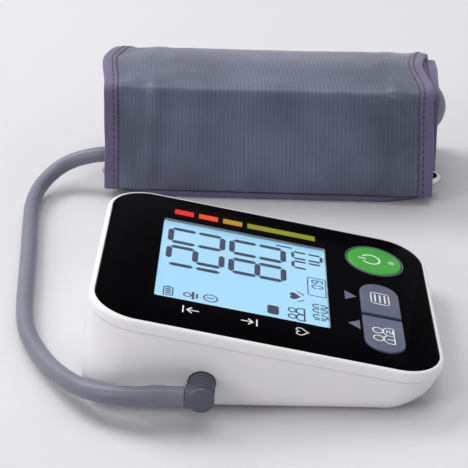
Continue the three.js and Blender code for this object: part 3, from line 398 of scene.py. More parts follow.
finishes = {
    # moulded ABS with a fine spark-eroded texture: satin, soft highlights
    "white": plainFinish("whiteMouldedAbs", "#efedee", 0.42, ("#ecebed", "#f2f0f1"), 60, (2600, 0.12, 0.00006),
                         {"IOR": 1.53}),
    # clear acrylic printed black behind: deep black with a faint gloss
    "black": plainFinish("backPrintedAcrylic", "#040407", 0.2, ("#030304", "#050406"), 45, (380, 0.03, 0.00004),
                         {"IOR": 1.2, "Specular IOR Level": 0.02}),
    # the plate's cut edge, lit from below: pale grey
    "edge": plainFinish("acrylicCutEdge", "#8f9296", 0.35, ("#85888d", "#a3a6aa"), 90, None, {"IOR": 1.49}),
    "window": windowAcrylic(),
    "display": displayGlass(),
    "segments": segmentInkAndGlow(),
    "whiteInk": printInk("whiteScreenInk", "#e9ecee", "#f6f7f8"),
    "slateInk": printInk("slateScreenInk", "#5f6580", "#6a708b"),
    "redInk": printInk("redScreenInk", "#f71c1c", "#ff2824"),
    "orangeInk": printInk("orangeScreenInk", "#f54408", "#fb5212"),
    "amberInk": printInk("amberScreenInk", "#b98604", "#c49010"),
    "oliveInk": printInk("oliveScreenInk", "#878d12", "#92981c"),
    # semi-gloss key cap
    "green": plainFinish("greenKeyAbs", "#30a624", 0.33, ("#2b9a22", "#38ae2c"), 70, (2400, 0.1, 0.00005),
                         {"IOR": 1.53, "Specular IOR Level": 0.35}),
    # satin key caps and trims
    "slate": plainFinish("slateKeyAbs", "#4e556d", 0.42, ("#484f66", "#565d76"), 80, (2400, 0.14, 0.00006),
                         {"IOR": 1.53}),
    # tougher, darker moulded plug
    "connector": plainFinish("slateConnectorPlastic", "#474c58", 0.44, ("#424753", "#505563"), 120,
                             (2100, 0.15, 0.00006)),
    # soft extruded PVC: satin with a slight lilac cast
    "hose": plainFinish("softHosePvc", "#6a6d7b", 0.46, ("#636675", "#737686"), 38, (1500, 0.16, 0.00008),
                        {"IOR": 1.52, "Sheen Weight": 0.12}),
    "nylon": cuffNylon(),
    "tape": bindingTape(),
    "lining": plainCloth("brushedLiningCloth", "#3a3e4a", "#4a4f5d", 1600, 0.3),
    "bladder": plainPlastic("bladderFilm", "#3d4049", "#484b55", 0.4),
    "pile": plainCloth("hookAndLoopPile", "#202127", "#34353d", 2200, 0.8),
    "thread": plainCloth("sewingThreadAndEdgeShade", "#2c2b35", "#3f3d4a", 3000, 0.5),
    "board": plainPlastic("solderMaskedBoard", "#1b5535", "#246a44", 0.4),
    "darkPlastic": plainPlastic("blackGlassFilledNylon", "#191a1f", "#26272d", 0.5),
    "rubber": plainPlastic("mouldedFootRubber", "#3c3f46", "#4a4d55", 0.8),
    "silicone": plainPlastic("translucentSilicone", "#cfccc4", "#dedbd4", 0.45),
    "diffuser": plainPlastic("milkyLightGuide", "#cdd6dc", "#e2e9ee", 0.4),
    "sleeve": plainPlastic("batterySleeveFilm", "#27345f", "#35447a", 0.3),
    "nickel": platedMetal("nickelPlatedSteel", "#aaa7a3", "#cfccc8", 0.24, 220),
    "zinc": platedMetal("zincPlatedCan", "#8a8e95", "#a9adb4", 0.36, 160),
    "ring": platedMetal("polishedNickelWire", "#b9b4b0", "#dbd6d1", 0.14, 90),
}
print("materials made:", len(finishes))


# Air hose: from the plug's collar round the unit's thick end, into the cuff and back in a loop to its port
hoseSet = {
    "radius": 3.35,
    "swell": 0.55,  # how much it widens over the plug's barb
    "swellAt": 10.0,
    "swellReach": 3.4,
    "step": 2.2,
}
cuffPlace = Matrix.Translation((-0.62, 46.57, 0.15)) @ Matrix.Rotation(math.radians(-2.8), 4, "Z")
hoseRoute = [  # in the scene's frame, up to the roll
    (-29.0, -128.5, 12.2), (-34.5, -128.5, 12.2), (-40.4, -128.5, 11.95), (-45.3, -128.0, 11.6),
    (-49.6, -127.1, 11.2), (-54.7, -125.3, 10.6), (-60.0, -122.3, 9.8), (-65.3, -117.7, 8.7),
    (-69.8, -111.9, 7.4), (-75.6, -103.3, 5.9), (-80.5, -94.5, 4.7), (-84.7, -85.5, 3.9),
    (-88.1, -77.4, 3.5), (-90.7, -69.3, 3.4), (-92.6, -60.4, 3.4), (-94.0, -51.2, 3.4),
    (-95.0, -42.5, 3.4), (-96.3, -30.2, 3.4), (-97.6, -18.4, 3.4), (-98.7, -7.7, 3.4),
    (-100.1, 3.7, 3.4), (-101.3, 14.3, 3.4), (-102.4, 24.7, 3.45), (-103.2, 34.1, 3.7),
    (-103.2, 42.6, 4.2), (-102.3, 49.9, 5.1), (-100.2, 56.1, 6.4), (-96.9, 60.7, 8.3),
    (-92.6, 63.4, 10.6), (-87.8, 63.9, 12.8), (-83.0, 63.4, 14.5), (-78.4, 62.7, 15.8),
    (-73.0, 62.1, 16.7),
]
hoseInside = [  # in the roll's own frame
    (-64, 13.2, 17.0), (-55, 15.0, 16.8), (-46, 18.4, 16.0), (-36, 23.2, 13.9),
    (-25, 26.6, 11.6), (-12, 28.0, 10.5), (2, 27.4, 10.9), (15, 25.0, 13.0), (27, 20.9, 17.0),
    (37, 17.1, 21.6), (45, 14.9, 25.4),
]
hoseTurn = {"x": 50, "y": 37.5, "z": 33.6, "radius": 24.3, "lean": 15, "steps": 10}
# the last stretch, with Y from the port's axis
hoseBack = [(44, -0.1, 39.0), (35, 0, 35.4), (26, 0, 31.2), (19.5, 0, 29.1), (14.45, 0, 28.5)]
portAxis = 5.2  # from the port's back
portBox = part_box("bladder_port")


def hosePath():  # centripetal curve through the route's points, in millimetres
    inside = [Vector(p) for p in hoseInside]
    lean = math.radians(hoseTurn["lean"])
    steps = hoseTurn["steps"]
    for i in range(1, steps):
        angle = -math.pi / 2 + math.pi * i / steps
        across = hoseTurn["radius"] * math.sin(angle)
        x = hoseTurn["x"] + hoseTurn["radius"] * math.cos(angle)
        y = hoseTurn["y"] + across * math.cos(lean)
        inside.append(Vector((x, y, hoseTurn["z"] + across * math.sin(lean))))
    back = cuffPlace.inverted() @ (Vector(portBox[1]) / millimetre)
    inside += [Vector((x, back.y - portAxis + y, z)) for x, y, z in hoseBack]
    knots = [Vector(p) for p in hoseRoute] + [cuffPlace @ p for p in inside]
    ends = [knots[0] * 2 - knots[1], *knots, knots[-1] * 2 - knots[-2]]
    path = []
    for a, b, c, d in zip(ends, ends[1:], ends[2:], ends[3:]):
        t1 = max((b - a).length ** 0.5, 1e-4)
        t2 = t1 + max((c - b).length ** 0.5, 1e-4)
        t3 = t2 + max((d - c).length ** 0.5, 1e-4)
        steps = max(2, round((c - b).length / hoseSet["step"]))
        for i in range(steps):
            t = t1 + (t2 - t1) * i / steps
            a1 = a.lerp(b, t / t1)
            a2 = b.lerp(c, (t - t1) / (t2 - t1))
            a3 = c.lerp(d, (t - t2) / (t3 - t2))
            b1 = a1.lerp(a2, t / t2)
            b2 = a2.lerp(a3, (t - t1) / (t3 - t1))
            path.append(b1.lerp(b2, (t - t1) / (t2 - t1)))
    path.append(knots[-1])
    return path


def makeHose():
    path = hosePath()
    hose, spline = tubeCurve("hoseTube", [point * millimetre for point in path], hoseSet["radius"] * millimetre)
    run = 0.0
    for i, point in enumerate(path):
        run += (point - path[i - 1]).length if i else 0.0
        swell = hoseSet["swell"] * math.exp(-((run - hoseSet["swellAt"]) / hoseSet["swellReach"]) ** 2)
        spline.points[i].radius = 1 + swell / hoseSet["radius"]
    hose.data.use_fill_caps = True
    spline.use_smooth = True
    hose.data.materials.append(finishes["hose"])
    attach(hose, "case")
    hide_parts("air_hose")
    return hose, path, run


hoseTube, hoseLine, hoseLength = makeHose()
print("hose made:", round(hoseLength), "mm")


# Plug: ribbed barrel, flat cap, squarish collar for the hose
plugSet = {
    "radius": 4.65,
    "ribs": 5,
    "ribDepth": 1.05,
    "spigot": 2.5,
    "spigotLength": 8,
    "collar": (6.0, 7.2, 7.2),  # length, width and height
    "collarCorner": 2.3,
}


def makePlug():
    low, high = [Vector(v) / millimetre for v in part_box("hose_connector")]
    axisX = high.x - plugSet["radius"]
    axisZ = (low.z + high.z) / 2
    front = low.y
    back = high.y - plugSet["spigotLength"]
    radius = plugSet["radius"]
    profile = [(0.3, 0), (radius - 1.5, 0), (radius - 0.7, 0.1), (radius - 0.2, 0.45), (radius, 1.0)]
    pitch = (back - front - 2.6) / plugSet["ribs"]
    for i in range(plugSet["ribs"]):
        level = 1.9 + i * pitch
        deep = radius - plugSet["ribDepth"]
        profile += [(radius, level), (radius - 0.12, level + 0.12), (deep, level + 0.25)]
        profile += [(deep, level + 0.75), (radius - 0.12, level + 0.9), (radius, level + 1.02)]
    length = back - front
    spigot = plugSet["spigot"]
    profile += [(radius, length - 0.3), (radius - 0.3, length), (spigot, length + 0.02), (spigot, length + 4)]
    profile += [(spigot - 0.6, length + 4.2), (spigot - 0.6, length + 5.8), (spigot, length + 6)]
    profile += [(spigot - 0.3, length + plugSet["spigotLength"])]
    barrel = turnedPiece("plugBarrel", profile, 64)
    laid = Matrix.Rotation(math.radians(-90), 4, "X")
    barrel.data.transform(Matrix.Translation((axisX, front, axisZ)) @ laid)
    reach, width, height = plugSet["collar"]
    collarY = hoseLine[0].y
    collarX = low.x
    collar = newBox("plugCollar", (collarX, collarY - width / 2, axisZ - height / 2),
                    (collarX + reach, collarY + width / 2, axisZ + height / 2))
    roundEdges(collar, lambda p: along(0, p), plugSet["collarCorner"], 6)
    roundEdges(collar, lambda p: atLevel(collarX, p, 0), 0.5, 3)
    plug = joinPieces("hosePlug", [barrel, collar])
    placePiece(plug, Matrix.Identity(4))
    return settle(plug, "connector", finishes["connector"], ["hose_connector"], 40)


hosePlug = makePlug()
print("plug made")


# The unit's own frame: the panel's surface is level zero, X runs to the thin end
unitSet = {
    "tilt": 12.07,  # degrees
    "length": 124.4,
    "width": 100.6,
    "corner": 17.5,
    "rimDepth": 4.2,
    "lip": 1.6,
    "crease": 0.7,
    "border": 2.0,
    "wall": 2.0,
    "gap": 0.3,
    "draft": 4.0,  # degrees
    "underside": 0.6,
    "sweepReach": 23.0,
    "sweepRadius": 26.8,
    "lens": 1.5,
    "plate": 1.6,
    "bossRadii": (1.5, 3),
    "bossEnds": (-12.0, -8.0),  # at the thick and the thin end
}
tilt = math.radians(unitSet["tilt"])
lensLow, lensHigh = [Vector(v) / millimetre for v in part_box("front_panel")]
panelNormal = Vector((math.sin(tilt), 0, math.cos(tilt)))
panelMiddle = (lensLow + lensHigh) / 2 + panelNormal * (unitSet["lens"] / 2)
panelPlace = Matrix.Translation(panelMiddle) @ Matrix.Rotation(tilt, 4, "Y")
fromPanel = panelPlace.inverted()


def panelSpan(node):  # a node's box in the panel's frame, from its own points
    points = [fromPanel @ (v.co / millimetre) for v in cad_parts[node].data.vertices]
    low = Vector([min(p[k] for p in points) for k in range(3)])
    return low, Vector([max(p[k] for p in points) for k in range(3)])


lcdLow, lcdHigh = panelSpan("lcd_module")
windowLow, windowHigh = panelSpan("display_window")
powerLow, powerHigh = panelSpan("power_button")
memoryLow, memoryHigh = panelSpan("memory_button")
userLow, userHigh = panelSpan("user_button")
flange = 0.8  # how far a key's base reaches under the panel
powerMiddle = (powerLow + powerHigh) / 2
powerRadius = (powerHigh.x - powerLow.x) / 2 - flange
longMiddle = (memoryLow.x + memoryHigh.x) / 2
longWidth = memoryHigh.x - memoryLow.x - 2 * flange
longTop = memoryHigh.y - flange
longBottom = userLow.y + flange
ringWall = 0.6
through = (-5, 3)  # levels of a cut that goes right through the panel


def longKeyTool(name, grow, z0, z1):  # the stadium outline of both long keys
    width = longWidth + 2 * grow
    length = longTop - longBottom + 2 * grow
    middle = (longTop + longBottom) / 2
    return roundedPlate(name, width, length, width / 2 - 0.01, z0, z1, longMiddle, middle, 24)


def roundTool(name, radius, z0, z1, x, y):
    return turnedPiece(name, [(radius, z0), (radius, z1)], 72, x, y)


def makeCaseTop():
    length, width, corner = unitSet["length"], unitSet["width"], unitSet["corner"]
    depth, lip, border, gap = unitSet["rimDepth"], unitSet["lip"], unitSet["border"], unitSet["gap"]
    floor = -unitSet["lens"] - gap
    under = floor - unitSet["plate"]
    top = roundedPlate("caseTop", length, width, corner, -depth, 0, segments=18)
    roundEdges(top, lambda p: atLevel(0, p), lip, 6)
    roundEdges(top, lambda p: atLevel(-depth, p), unitSet["crease"], 4)
    recess = roundedPlate("recess", length - 2 * border + 2 * gap, width - 2 * border + 2 * gap,
                          corner - border + gap, floor, 3, segments=18)
    carve(top, recess)
    inset = unitSet["crease"] + unitSet["wall"]
    hollow = roundedPlate("hollow", length - 2 * inset, width - 2 * inset, corner - inset, -depth - 1, under)
    carve(top, hollow)
    carve(top, roundedPlate("lcdHole", lcdHigh.x - lcdLow.x + 2 * gap, lcdHigh.y - lcdLow.y + 2 * gap, 1,
                            under - 1, 3, *middleOf(lcdLow, lcdHigh), 4))
    carve(top, roundTool("powerHole", powerRadius + gap, under - 1, 3, powerMiddle.x, powerMiddle.y))
    carve(top, longKeyTool("longHole", gap, under - 1, 3))
    bosses = [top]
    bore, radius = unitSet["bossRadii"]
    for i in range(4):
        x, y = middleOf(*panelSpan("case_screw_" + str(i + 1)))
        end = unitSet["bossEnds"][x > 0]
        root = under + 0.3
        bosses.append(turnedPiece("boss", [(bore, under - 1), (bore, end), (radius, end), (radius, root),
                                           (bore, root)], 28, x, y))
    top = joinPieces("caseTop", bosses)
    placePiece(top, panelPlace)
    return settle(top, "case", finishes["white"], ["upper_case"], 30)


makeCaseTop()
print("case top made")


# Case bottom: an open tub whose walls lean in and round over onto a flat floor that sweeps up at the thin end
onUnit = Matrix.Translation((-0.9, -71.88, 0))
fromUnit = onUnit.inverted()
tubSet = {
    "corner": 16.8,
    "inset": 0.7,
    "topLevel": -4.5,  # in the panel's frame
    "sideRound": 6.5,
    "heelRound": 7.0,
    "rows": 9,
    "roundRows": 7,
    "floorRings": 9,
    "cornerSteps": 15,
    "sideSteps": 10,
    "floorMiddle": -6.0,
    "doorGap": 0.3,
    "portHole": 4.9,  # radii and levels in millimetres from here on
    "footRecess": (4.3, 1.35),
    "screwWell": (3.0, 5.2),
    "bayWall": 1.4,
    "bayLevels": (2.4, 13.6),
    "postRadii": (1.6, 3.8),
}


def tubOutline():  # the rim line in the panel's frame, with the way out at each point
    corner = tubSet["corner"]
    x = unitSet["length"] / 2 - tubSet["inset"] - corner
    y = unitSet["width"] / 2 - tubSet["inset"] - corner
    middles = [Vector(p) for p in ((x, y, 0), (-x, y, 0), (-x, -y, 0), (x, -y, 0))]
    steps, sideSteps = tubSet["cornerSteps"], tubSet["sideSteps"]
    points = []
    for turn, middle in enumerate(middles):
        for i in range(steps):
            angle = math.radians(turn * 90 + i * 90 / steps)
            out = Vector((math.cos(angle), math.sin(angle), 0))
            points.append((middle + out * corner, out))
        start, out = points[-1]
        goal = middles[(turn + 1) % 4] + out * corner
        points += [(start.lerp(goal, i / sideSteps), out) for i in range(1, sideSteps)]
    return points


def floorHeight(x):  # x in the unit's frame, mm
    over = x - (unitSet["length"] / 2 - unitSet["sweepReach"])
    if over <= 0:
        return unitSet["underside"]
    radius = unitSet["sweepRadius"]
    return unitSet["underside"] + radius - math.sqrt(max(radius ** 2 - over ** 2, 1))


def tubColumn(point, out):  # from the rim down to the edge of the flat floor
    toUnit = fromUnit @ panelPlace
    top = toUnit @ Vector((point.x, point.y, tubSet["topLevel"]))
    side = (toUnit.to_3x3() @ out)
    side.z = 0
    side.normalize()
    lean = math.tan(math.radians(unitSet["draft"]))
    down = -(toUnit.to_3x3() @ Vector((out.x * lean, out.y * lean, 1)))
    heel = max(0.0, -side.x)
    roundSize = tubSet["sideRound"] + (tubSet["heelRound"] - tubSet["sideRound"]) * heel
    foot = top
    for _ in range(12):  # down the wall to where it meets the floor
        foot = top + down * ((top.z - floorHeight(foot.x)) / -down.z)
    drop = top.z - foot.z
    bend = min(roundSize, drop * 0.62)
    points = []
    for i in range(tubSet["rows"]):
        share = (drop - bend) / drop * i / (tubSet["rows"] - 1)
        points.append(top.lerp(foot, share))
    start = points[-1]
    flat = foot - side * bend
    flat.z = floorHeight(flat.x)
    for i in range(1, tubSet["roundRows"] + 1):
        t = i / tubSet["roundRows"]
        points.append(start * (1 - t) ** 2 + foot * 2 * t * (1 - t) + flat * t * t)
    return points


def makeTub():
    columns = [tubColumn(point, out) for point, out in tubOutline()]
    count = len(columns)
    rows = len(columns[0])
    points = [column[r] for r in range(rows) for column in columns]
    centre = Vector((tubSet["floorMiddle"], 0, unitSet["underside"]))
    rings = tubSet["floorRings"]
    for ring in range(1, rings):
        for column in columns:
            p = column[-1].lerp(centre, ring / rings)
            p.z = floorHeight(p.x)
            points.append(p)
    points.append(centre)
    faces = []
    total = rows + rings - 1
    for r in range(total - 1):
        for c in range(count):
            d = (c + 1) % count
            faces.append((r * count + c, (r + 1) * count + c, (r + 1) * count + d, r * count + d))
    for c in range(count):
        faces.append(((total - 1) * count + c, len(points) - 1, (total - 1) * count + (c + 1) % count))
    return meshPiece("caseBottom", points, faces)


def unitBox(node, grow=0.0):
    low, high = [fromUnit @ (Vector(v) / millimetre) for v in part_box(node)]
    return low - Vector((grow,) * 3), high + Vector((grow,) * 3)


def makeCaseBottom():
    tub = makeTub()
    faceOutwards(tub)
    outward = sum((p.normal.z for p in tub.data.polygons if p.center.z < 1), 0.0)
    if outward > 0:
        tub.data.flip_normals()
    applyModifier(tub, "SOLIDIFY", thickness=unitSet["wall"], offset=-1, use_even_offset=True)
    low, high = unitBox("battery_door", tubSet["doorGap"])
    carve(tub, newBox("bayOpening", (low.x, low.y, -2), (high.x, high.y, 6)))
    portLow, portHigh = unitBox("air_port")
    hole = turnedPiece("portHole", [(tubSet["portHole"], 0), (tubSet["portHole"], 9)])
    portStart = Vector(((portLow.x + portHigh.x) / 2, portLow.y - 3, (portLow.z + portHigh.z) / 2))
    hole.data.transform(Matrix.Translation(portStart) @ Matrix.Rotation(math.radians(-90), 4, "X"))
    carve(tub, hole)
    screws = [unitBox("case_screw_" + str(i + 1)) for i in range(4)]
    footRadius, footTop = tubSet["footRecess"]
    wellRadius, wellTop = tubSet["screwWell"]
    for i, screw in enumerate(screws):
        foot = middleOf(*unitBox("rubber_foot_" + str(i + 1)))
        carve(tub, turnedPiece("footRecess", [(footRadius, -1), (footRadius, footTop)], 40, *foot))
        carve(tub, turnedPiece("screwWell", [(wellRadius, -2), (wellRadius, wellTop)], 32, *middleOf(*screw)))
    pieces = [tub]
    wall = tubSet["bayWall"]
    bayFoot, bayTop = tubSet["bayLevels"]
    for name, a, b in [("bayWallLeft", (low.x - wall, low.y - wall), (low.x, high.y + wall)),
                       ("bayWallRight", (high.x, low.y - wall), (high.x + wall, high.y + wall)),
                       ("bayWallNear", (low.x, low.y - wall), (high.x, low.y)),
                       ("bayWallFar", (low.x, high.y), (high.x, high.y + wall))]:
        rib = newBox(name, (*a, bayFoot), (*b, bayTop))
        roundEdges(rib, lambda p: atLevel(bayTop, p), 0.4, 2)
        pieces.append(rib)
    bore, radius = tubSet["postRadii"]
    for screw in screws:
        x, y = middleOf(*screw)
        level, top = floorHeight(x) + 1.5, screw[0].z
        pieces.append(turnedPiece("screwPost", [(bore, level), (radius, level), (radius, top + 0.1),
                                                (radius - 0.2, top + 0.3), (bore, top + 0.3), (bore, level)],
                                  32, x, y))
    tub = joinPieces("caseBottom", pieces)
    placePiece(tub, onUnit)
    return settle(tub, "case", finishes["white"], ["lower_case"], 28)


makeCaseBottom()
print("case bottom made")


# Black panel: one acrylic plate with the window and the key holes cut through it
def makePanel():
    length = unitSet["length"] - 2 * unitSet["border"]
    width = unitSet["width"] - 2 * unitSet["border"]
    corner = unitSet["corner"] - unitSet["border"]
    panel = roundedPlate("panelPlate", length, width, corner, -unitSet["lens"], 0, segments=18)
    roundEdges(panel, lambda p: atLevel(0, p), 0.3, 3)
    panel.data.materials.append(finishes["black"])
    grow = unitSet["gap"]
    carve(panel, roundedPlate("windowHole", windowHigh.x - windowLow.x + 2 * grow,
                              windowHigh.y - windowLow.y + 2 * grow, 0.8, *through,
                              *middleOf(windowLow, windowHigh), 4))
    carve(panel, roundTool("powerCut", powerRadius + grow + ringWall, *through, powerMiddle.x, powerMiddle.y))
    carve(panel, longKeyTool("longCut", grow, *through))
    panel.data.materials.append(finishes["edge"])
    near = 2  # faces this close to the window are its cut edge
    for face in panel.data.polygons:
        upright = abs(face.normal.z) < 0.3
        if upright and all(windowLow[k] - near < face.center[k] < windowHigh[k] + near for k in (0, 1)):
            face.material_index = 1
    placePiece(panel, panelPlace)
    return settle(panel, "case", None, ["front_panel"], 30)


makePanel()
print("panel made")


# Keys: a flange under the panel, a cap with a softly rounded edge, and a stem onto its switch
keySet = {
    "flangeTop": -3.6,
    "flangeFoot": -4.4,
    "capRound": 0.45,
    "stem": (1.6, 2.2, 2.4),  # radii, from its foot up
    "cutReach": 60,
}


def makePowerKey():
    foot, top = powerLow.z, powerHigh.z
    r = powerRadius
    tip, low, high = keySet["stem"]
    profile = [(tip, foot), (low, foot + 0.3), (high, -4.4), (r + flange, -4.3), (r + flange, -3.5), (r, -3.4),
               (r, top - 0.75), (r - 0.12, top - 0.42), (r - 0.4, top - 0.16), (r - 0.9, top - 0.04),
               (r - 1.6, top), (r * 0.55, top), (r * 0.2, top)]
    key = turnedPiece("powerKey", profile, 96, powerMiddle.x, powerMiddle.y)
    placePiece(key, panelPlace)
    return settle(key, "power_key", finishes["green"], ["power_button"], 30)


def makeKeyRing():
    profile = [(0.25, -1.4), (0.8, -1.4), (0.8, 0.25), (0.7, 0.42), (0.5, 0.48), (0.3, 0.4), (0.25, 0.25)]
    ring = turnedPiece("keyRing", [(powerRadius + out, level) for out, level in profile], 96)
    bore = powerRadius + 0.22
    carve(ring, turnedPiece("ringHole", [(bore, -3), (bore, 3)], 96))
    ring.data.transform(Matrix.Translation((powerMiddle.x, powerMiddle.y, 0)))
    placePiece(ring, panelPlace)
    return settle(ring, "case", finishes["slate"], ["power_button_ring"], 30)


def cutAcross(piece, y, side):  # cuts away all that lies on one side of a line across both long keys
    away = keySet["cutReach"]
    carve(piece, newBox("split", (-away, min(y, side * away), -9), (away, max(y, side * away), 9)))


def makeLongKey(name, low, high, body, node, side):  # side: where the other long key lies, along Y
    edge = low.y if side < 0 else high.y
    cap = longKeyTool(name, 0, keySet["flangeTop"], high.z)
    cutAcross(cap, edge - side * flange, side)
    roundEdges(cap, lambda p: atLevel(high.z, p), keySet["capRound"], 4)
    base = longKeyTool(name + "Base", flange, keySet["flangeFoot"], keySet["flangeTop"])
    cutAcross(base, edge, side)
    tip, wide, wider = keySet["stem"]
    profile = [(tip, low.z), (wide, low.z + 0.3), (wider, -4.3)]
    stem = turnedPiece(name + "Stem", profile, 32, *middleOf(low, high))
    key = joinPieces(name, [cap, base, stem])
    placePiece(key, panelPlace)
    return settle(key, body, finishes["slate"], [node], 30)


makePowerKey()
makeKeyRing()
makeLongKey("memoryKey", memoryLow, memoryHigh, "memory_key", "memory_button", -1)
makeLongKey("userKey", userLow, userHigh, "user_key", "user_button", 1)
print("keys made")


# Prints and display marks: thin flat pieces in the panel's frame, from strokes, rings and filled outlines.
# A reader faces the unit's long side, so the marks' up is -X and they read along +Y. A shape's Z is 0 below and
# 1 on top until makePrint lays it on its surface.
printSet = {
    "sink": 0.02,
    "rise": 0.05,
    "barEdges": (35.05, 38.95),
    "bars": [("redBar", -36.6, -29.3, "redInk"), ("orangeBar", -27.3, -19.9, "orangeInk"),
             ("amberBar", -17.9, -10.4, "amberInk"), ("oliveBar", -8.4, 18.1, "oliveInk")],
    "arrows": [[(28.1, 0.1), (28.1, -6.3), (32.5, -3.0)], [(32.65, -20.0), (32.65, -26.2), (28.3, -23.1)]],
    "signLine": -35.8,
    "highSign": -26.6,
    "lowSign": -7.4,
    "heartSign": 11.4,
    "heartSize": 4.8,
    "signStroke": 0.5,
}


def flatShape(outline):  # points and faces of a filled outline
    outline = [Vector(p[:2]) for p in outline]
    n = len(outline)
    area = sum(p.x * q.y - q.x * p.y for p, q in zip(outline, outline[1:] + outline[:1]))
    if area < 0:
        outline = outline[::-1]
    points = [Vector((p.x, p.y, z)) for z in (0, 1) for p in outline]
    faces = [tuple(range(n - 1, -1, -1)), tuple(range(n, 2 * n))]
    faces += [(i, (i + 1) % n, n + (i + 1) % n, n + i) for i in range(n)]
    return points, faces


def flatStroke(a, b, width):  # a line with round ends
    a, b = Vector(a), Vector(b)
    way = (b - a) / max((b - a).length, 1e-4)
    side = Vector((-way.y, way.x))
    outline = []
    for centre, turn in ((b, -90), (a, 90)):
        for i in range(7):
            angle = math.radians(turn + i * 30)
            outline.append(centre + (way * math.cos(angle) + side * math.sin(angle)) * (width / 2))
    return flatShape(outline)


def ringShape(centre, radius, width, start=0, end=360):
    steps = max(6, round(abs(end - start) / 12))
    points = []
    for i in range(steps + 1):
        angle = math.radians(start + (end - start) * i / steps)
        way = Vector((math.cos(angle), math.sin(angle)))
        inner, outer = (Vector(centre) + way * (radius + side * width / 2) for side in (-1, 1))
        points += [Vector((*inner, 0)), Vector((*outer, 0)), Vector((*outer, 1)), Vector((*inner, 1))]
    return points, sleeveFaces(steps + 1, 4)


def makePrint(name, shapes, finish, level=0.0, body="case", sink=printSet["sink"]):
    points, faces = [], []
    for shapePoints, shapeFaces in shapes:
        start = len(points)
        points += [Vector((p.x, p.y, level + (printSet["rise"] if p.z else -sink))) for p in shapePoints]
        faces += [tuple(start + i for i in face) for face in shapeFaces]
    piece = meshPiece(name, points, faces)
    faceOutwards(piece)
    placePiece(piece, panelPlace)
    return settle(piece, body, finish, (), 30)


for name, a0, a1, ink in printSet["bars"]:
    b0, b1 = printSet["barEdges"]
    makePrint(name, [flatShape([(a0, b0), (a1, b0), (a1, b1), (a0, b1)])], finishes[ink])
makePrint("memoryArrows", [flatShape(corners) for corners in printSet["arrows"]], finishes["slateInk"])


def strokes(ends, width, a=0.0, b=0.0):  # several lines, each from a pair of ends, drawn from a, b
    return [flatStroke((a + p[0], b + p[1]), (a + q[0], b + q[1]), width) for p, q in ends]


def heartOutline(a, b, size):  # up is -X
    outline = []
    for i in range(28):
        t = 2 * math.pi * i / 28
        across = 16 * math.sin(t) ** 3
        up = 13 * math.cos(t) - 5 * math.cos(2 * t) - 2 * math.cos(3 * t) - math.cos(4 * t)
        outline.append((a - up * size / 32, b + across * size / 32))
    return outline


def outlineStrokes(outline, width):
    return strokes(zip(outline, outline[1:] + outline[:1]), width)


def sidePictograms():  # beside the rows: high, low and pulse, as plain signs
    b, width = printSet["signLine"], printSet["signStroke"]
    shapes = []
    for a, way in ((printSet["highSign"], -1), (printSet["lowSign"], 1)):  # an arrow to a bar
        arrow = [((-2.1, 0), (1.9, 0)), ((1.9, 0), (0.3, -1.7)), ((1.9, 0), (0.3, 1.7)),
                 ((3.2, -2.1), (3.2, 2.1))]
        shapes += strokes([((way * p[0], p[1]), (way * q[0], q[1])) for p, q in arrow], width, a, b)
    return shapes + outlineStrokes(heartOutline(printSet["heartSign"], b, printSet["heartSize"]), width)


makePrint("sidePictograms", sidePictograms(), finishes["whiteInk"])


def powerSign():
    a, b = powerMiddle.x - 1.5, powerMiddle.y - 0.1
    shapes = [ringShape((a, b), 3.5, 0.62, 210, 510), flatStroke((a - 2.0, b), (a - 4.6, b), 0.62)]
    return shapes + [ringShape((a + 8.0, b), 1.0, 0.28), flatStroke((a + 7.7, b), (a + 8.3, b), 0.4)]


makePrint("powerSign", powerSign(), finishes["whiteInk"], powerHigh.z, "power_key")


# Which of seven bars are lit: top, upper left, upper right, middle, lower left, lower right, foot
digitBars = {
    "0": (1, 1, 1, 0, 1, 1, 1), "1": (0, 0, 1, 0, 0, 1, 0), "2": (1, 0, 1, 1, 1, 0, 1),
    "7": (1, 1, 1, 0, 0, 1, 0), "8": (1, 1, 1, 1, 1, 1, 1), "9": (1, 1, 1, 1, 0, 1, 1),
}


def barShape(a0, b0, a1, b1, width):  # one segment with pointed ends
    start, end = Vector((a0, b0)), Vector((a1, b1))
    tip = (end - start).normalized() * (width / 2)
    side = Vector((-tip.y, tip.x))
    return flatShape([start, start + tip + side, end - tip + side, end, end - tip - side, start + tip - side])


def digitShapes(digit, a0, b0, high, wide, width, gap=0.3):  # from its top left corner a0, b0
    inset = width / 2
    top, foot, middle = a0 + inset, a0 + high - inset, a0 + high / 2
    left, right = b0 + inset, b0 + wide - inset
    bars = [(top, left + gap, top, right - gap), (top + gap, left, middle - gap, left),
            (top + gap, right, middle - gap, right), (middle, left + gap, middle, right - gap),
            (middle + gap, left, foot - gap, left), (middle + gap, right, foot - gap, right),
            (foot, left + gap, foot, right - gap)]
    return [barShape(*bar, width) for bar, lit in zip(bars, digitBars[digit]) if lit]


def personShapes(a, b, size, width):  # head and shoulders in outline, a at the head's middle
    body = [(1.0, -0.44), (0.6, -0.44), (0.38, -0.22), (0.38, 0.22), (0.6, 0.44), (1.0, 0.44)]
    head = ringShape((a + size * 0.04, b), size * 0.3, width)
    return [head] + outlineStrokes([(a + size * p, b + size * q) for p, q in body], width)


def roundedOutline(a0, a1, b0, b1, corner):
    outline = []
    for turn, (a, b) in enumerate([(a1 - corner, b1 - corner), (a0 + corner, b1 - corner),
                                   (a0 + corner, b0 + corner), (a1 - corner, b0 + corner)]):
        for i in range(5):
            angle = math.radians(turn * 90 + i * 22.5)
            outline.append((a + corner * math.cos(angle), b + corner * math.sin(angle)))
    return outline


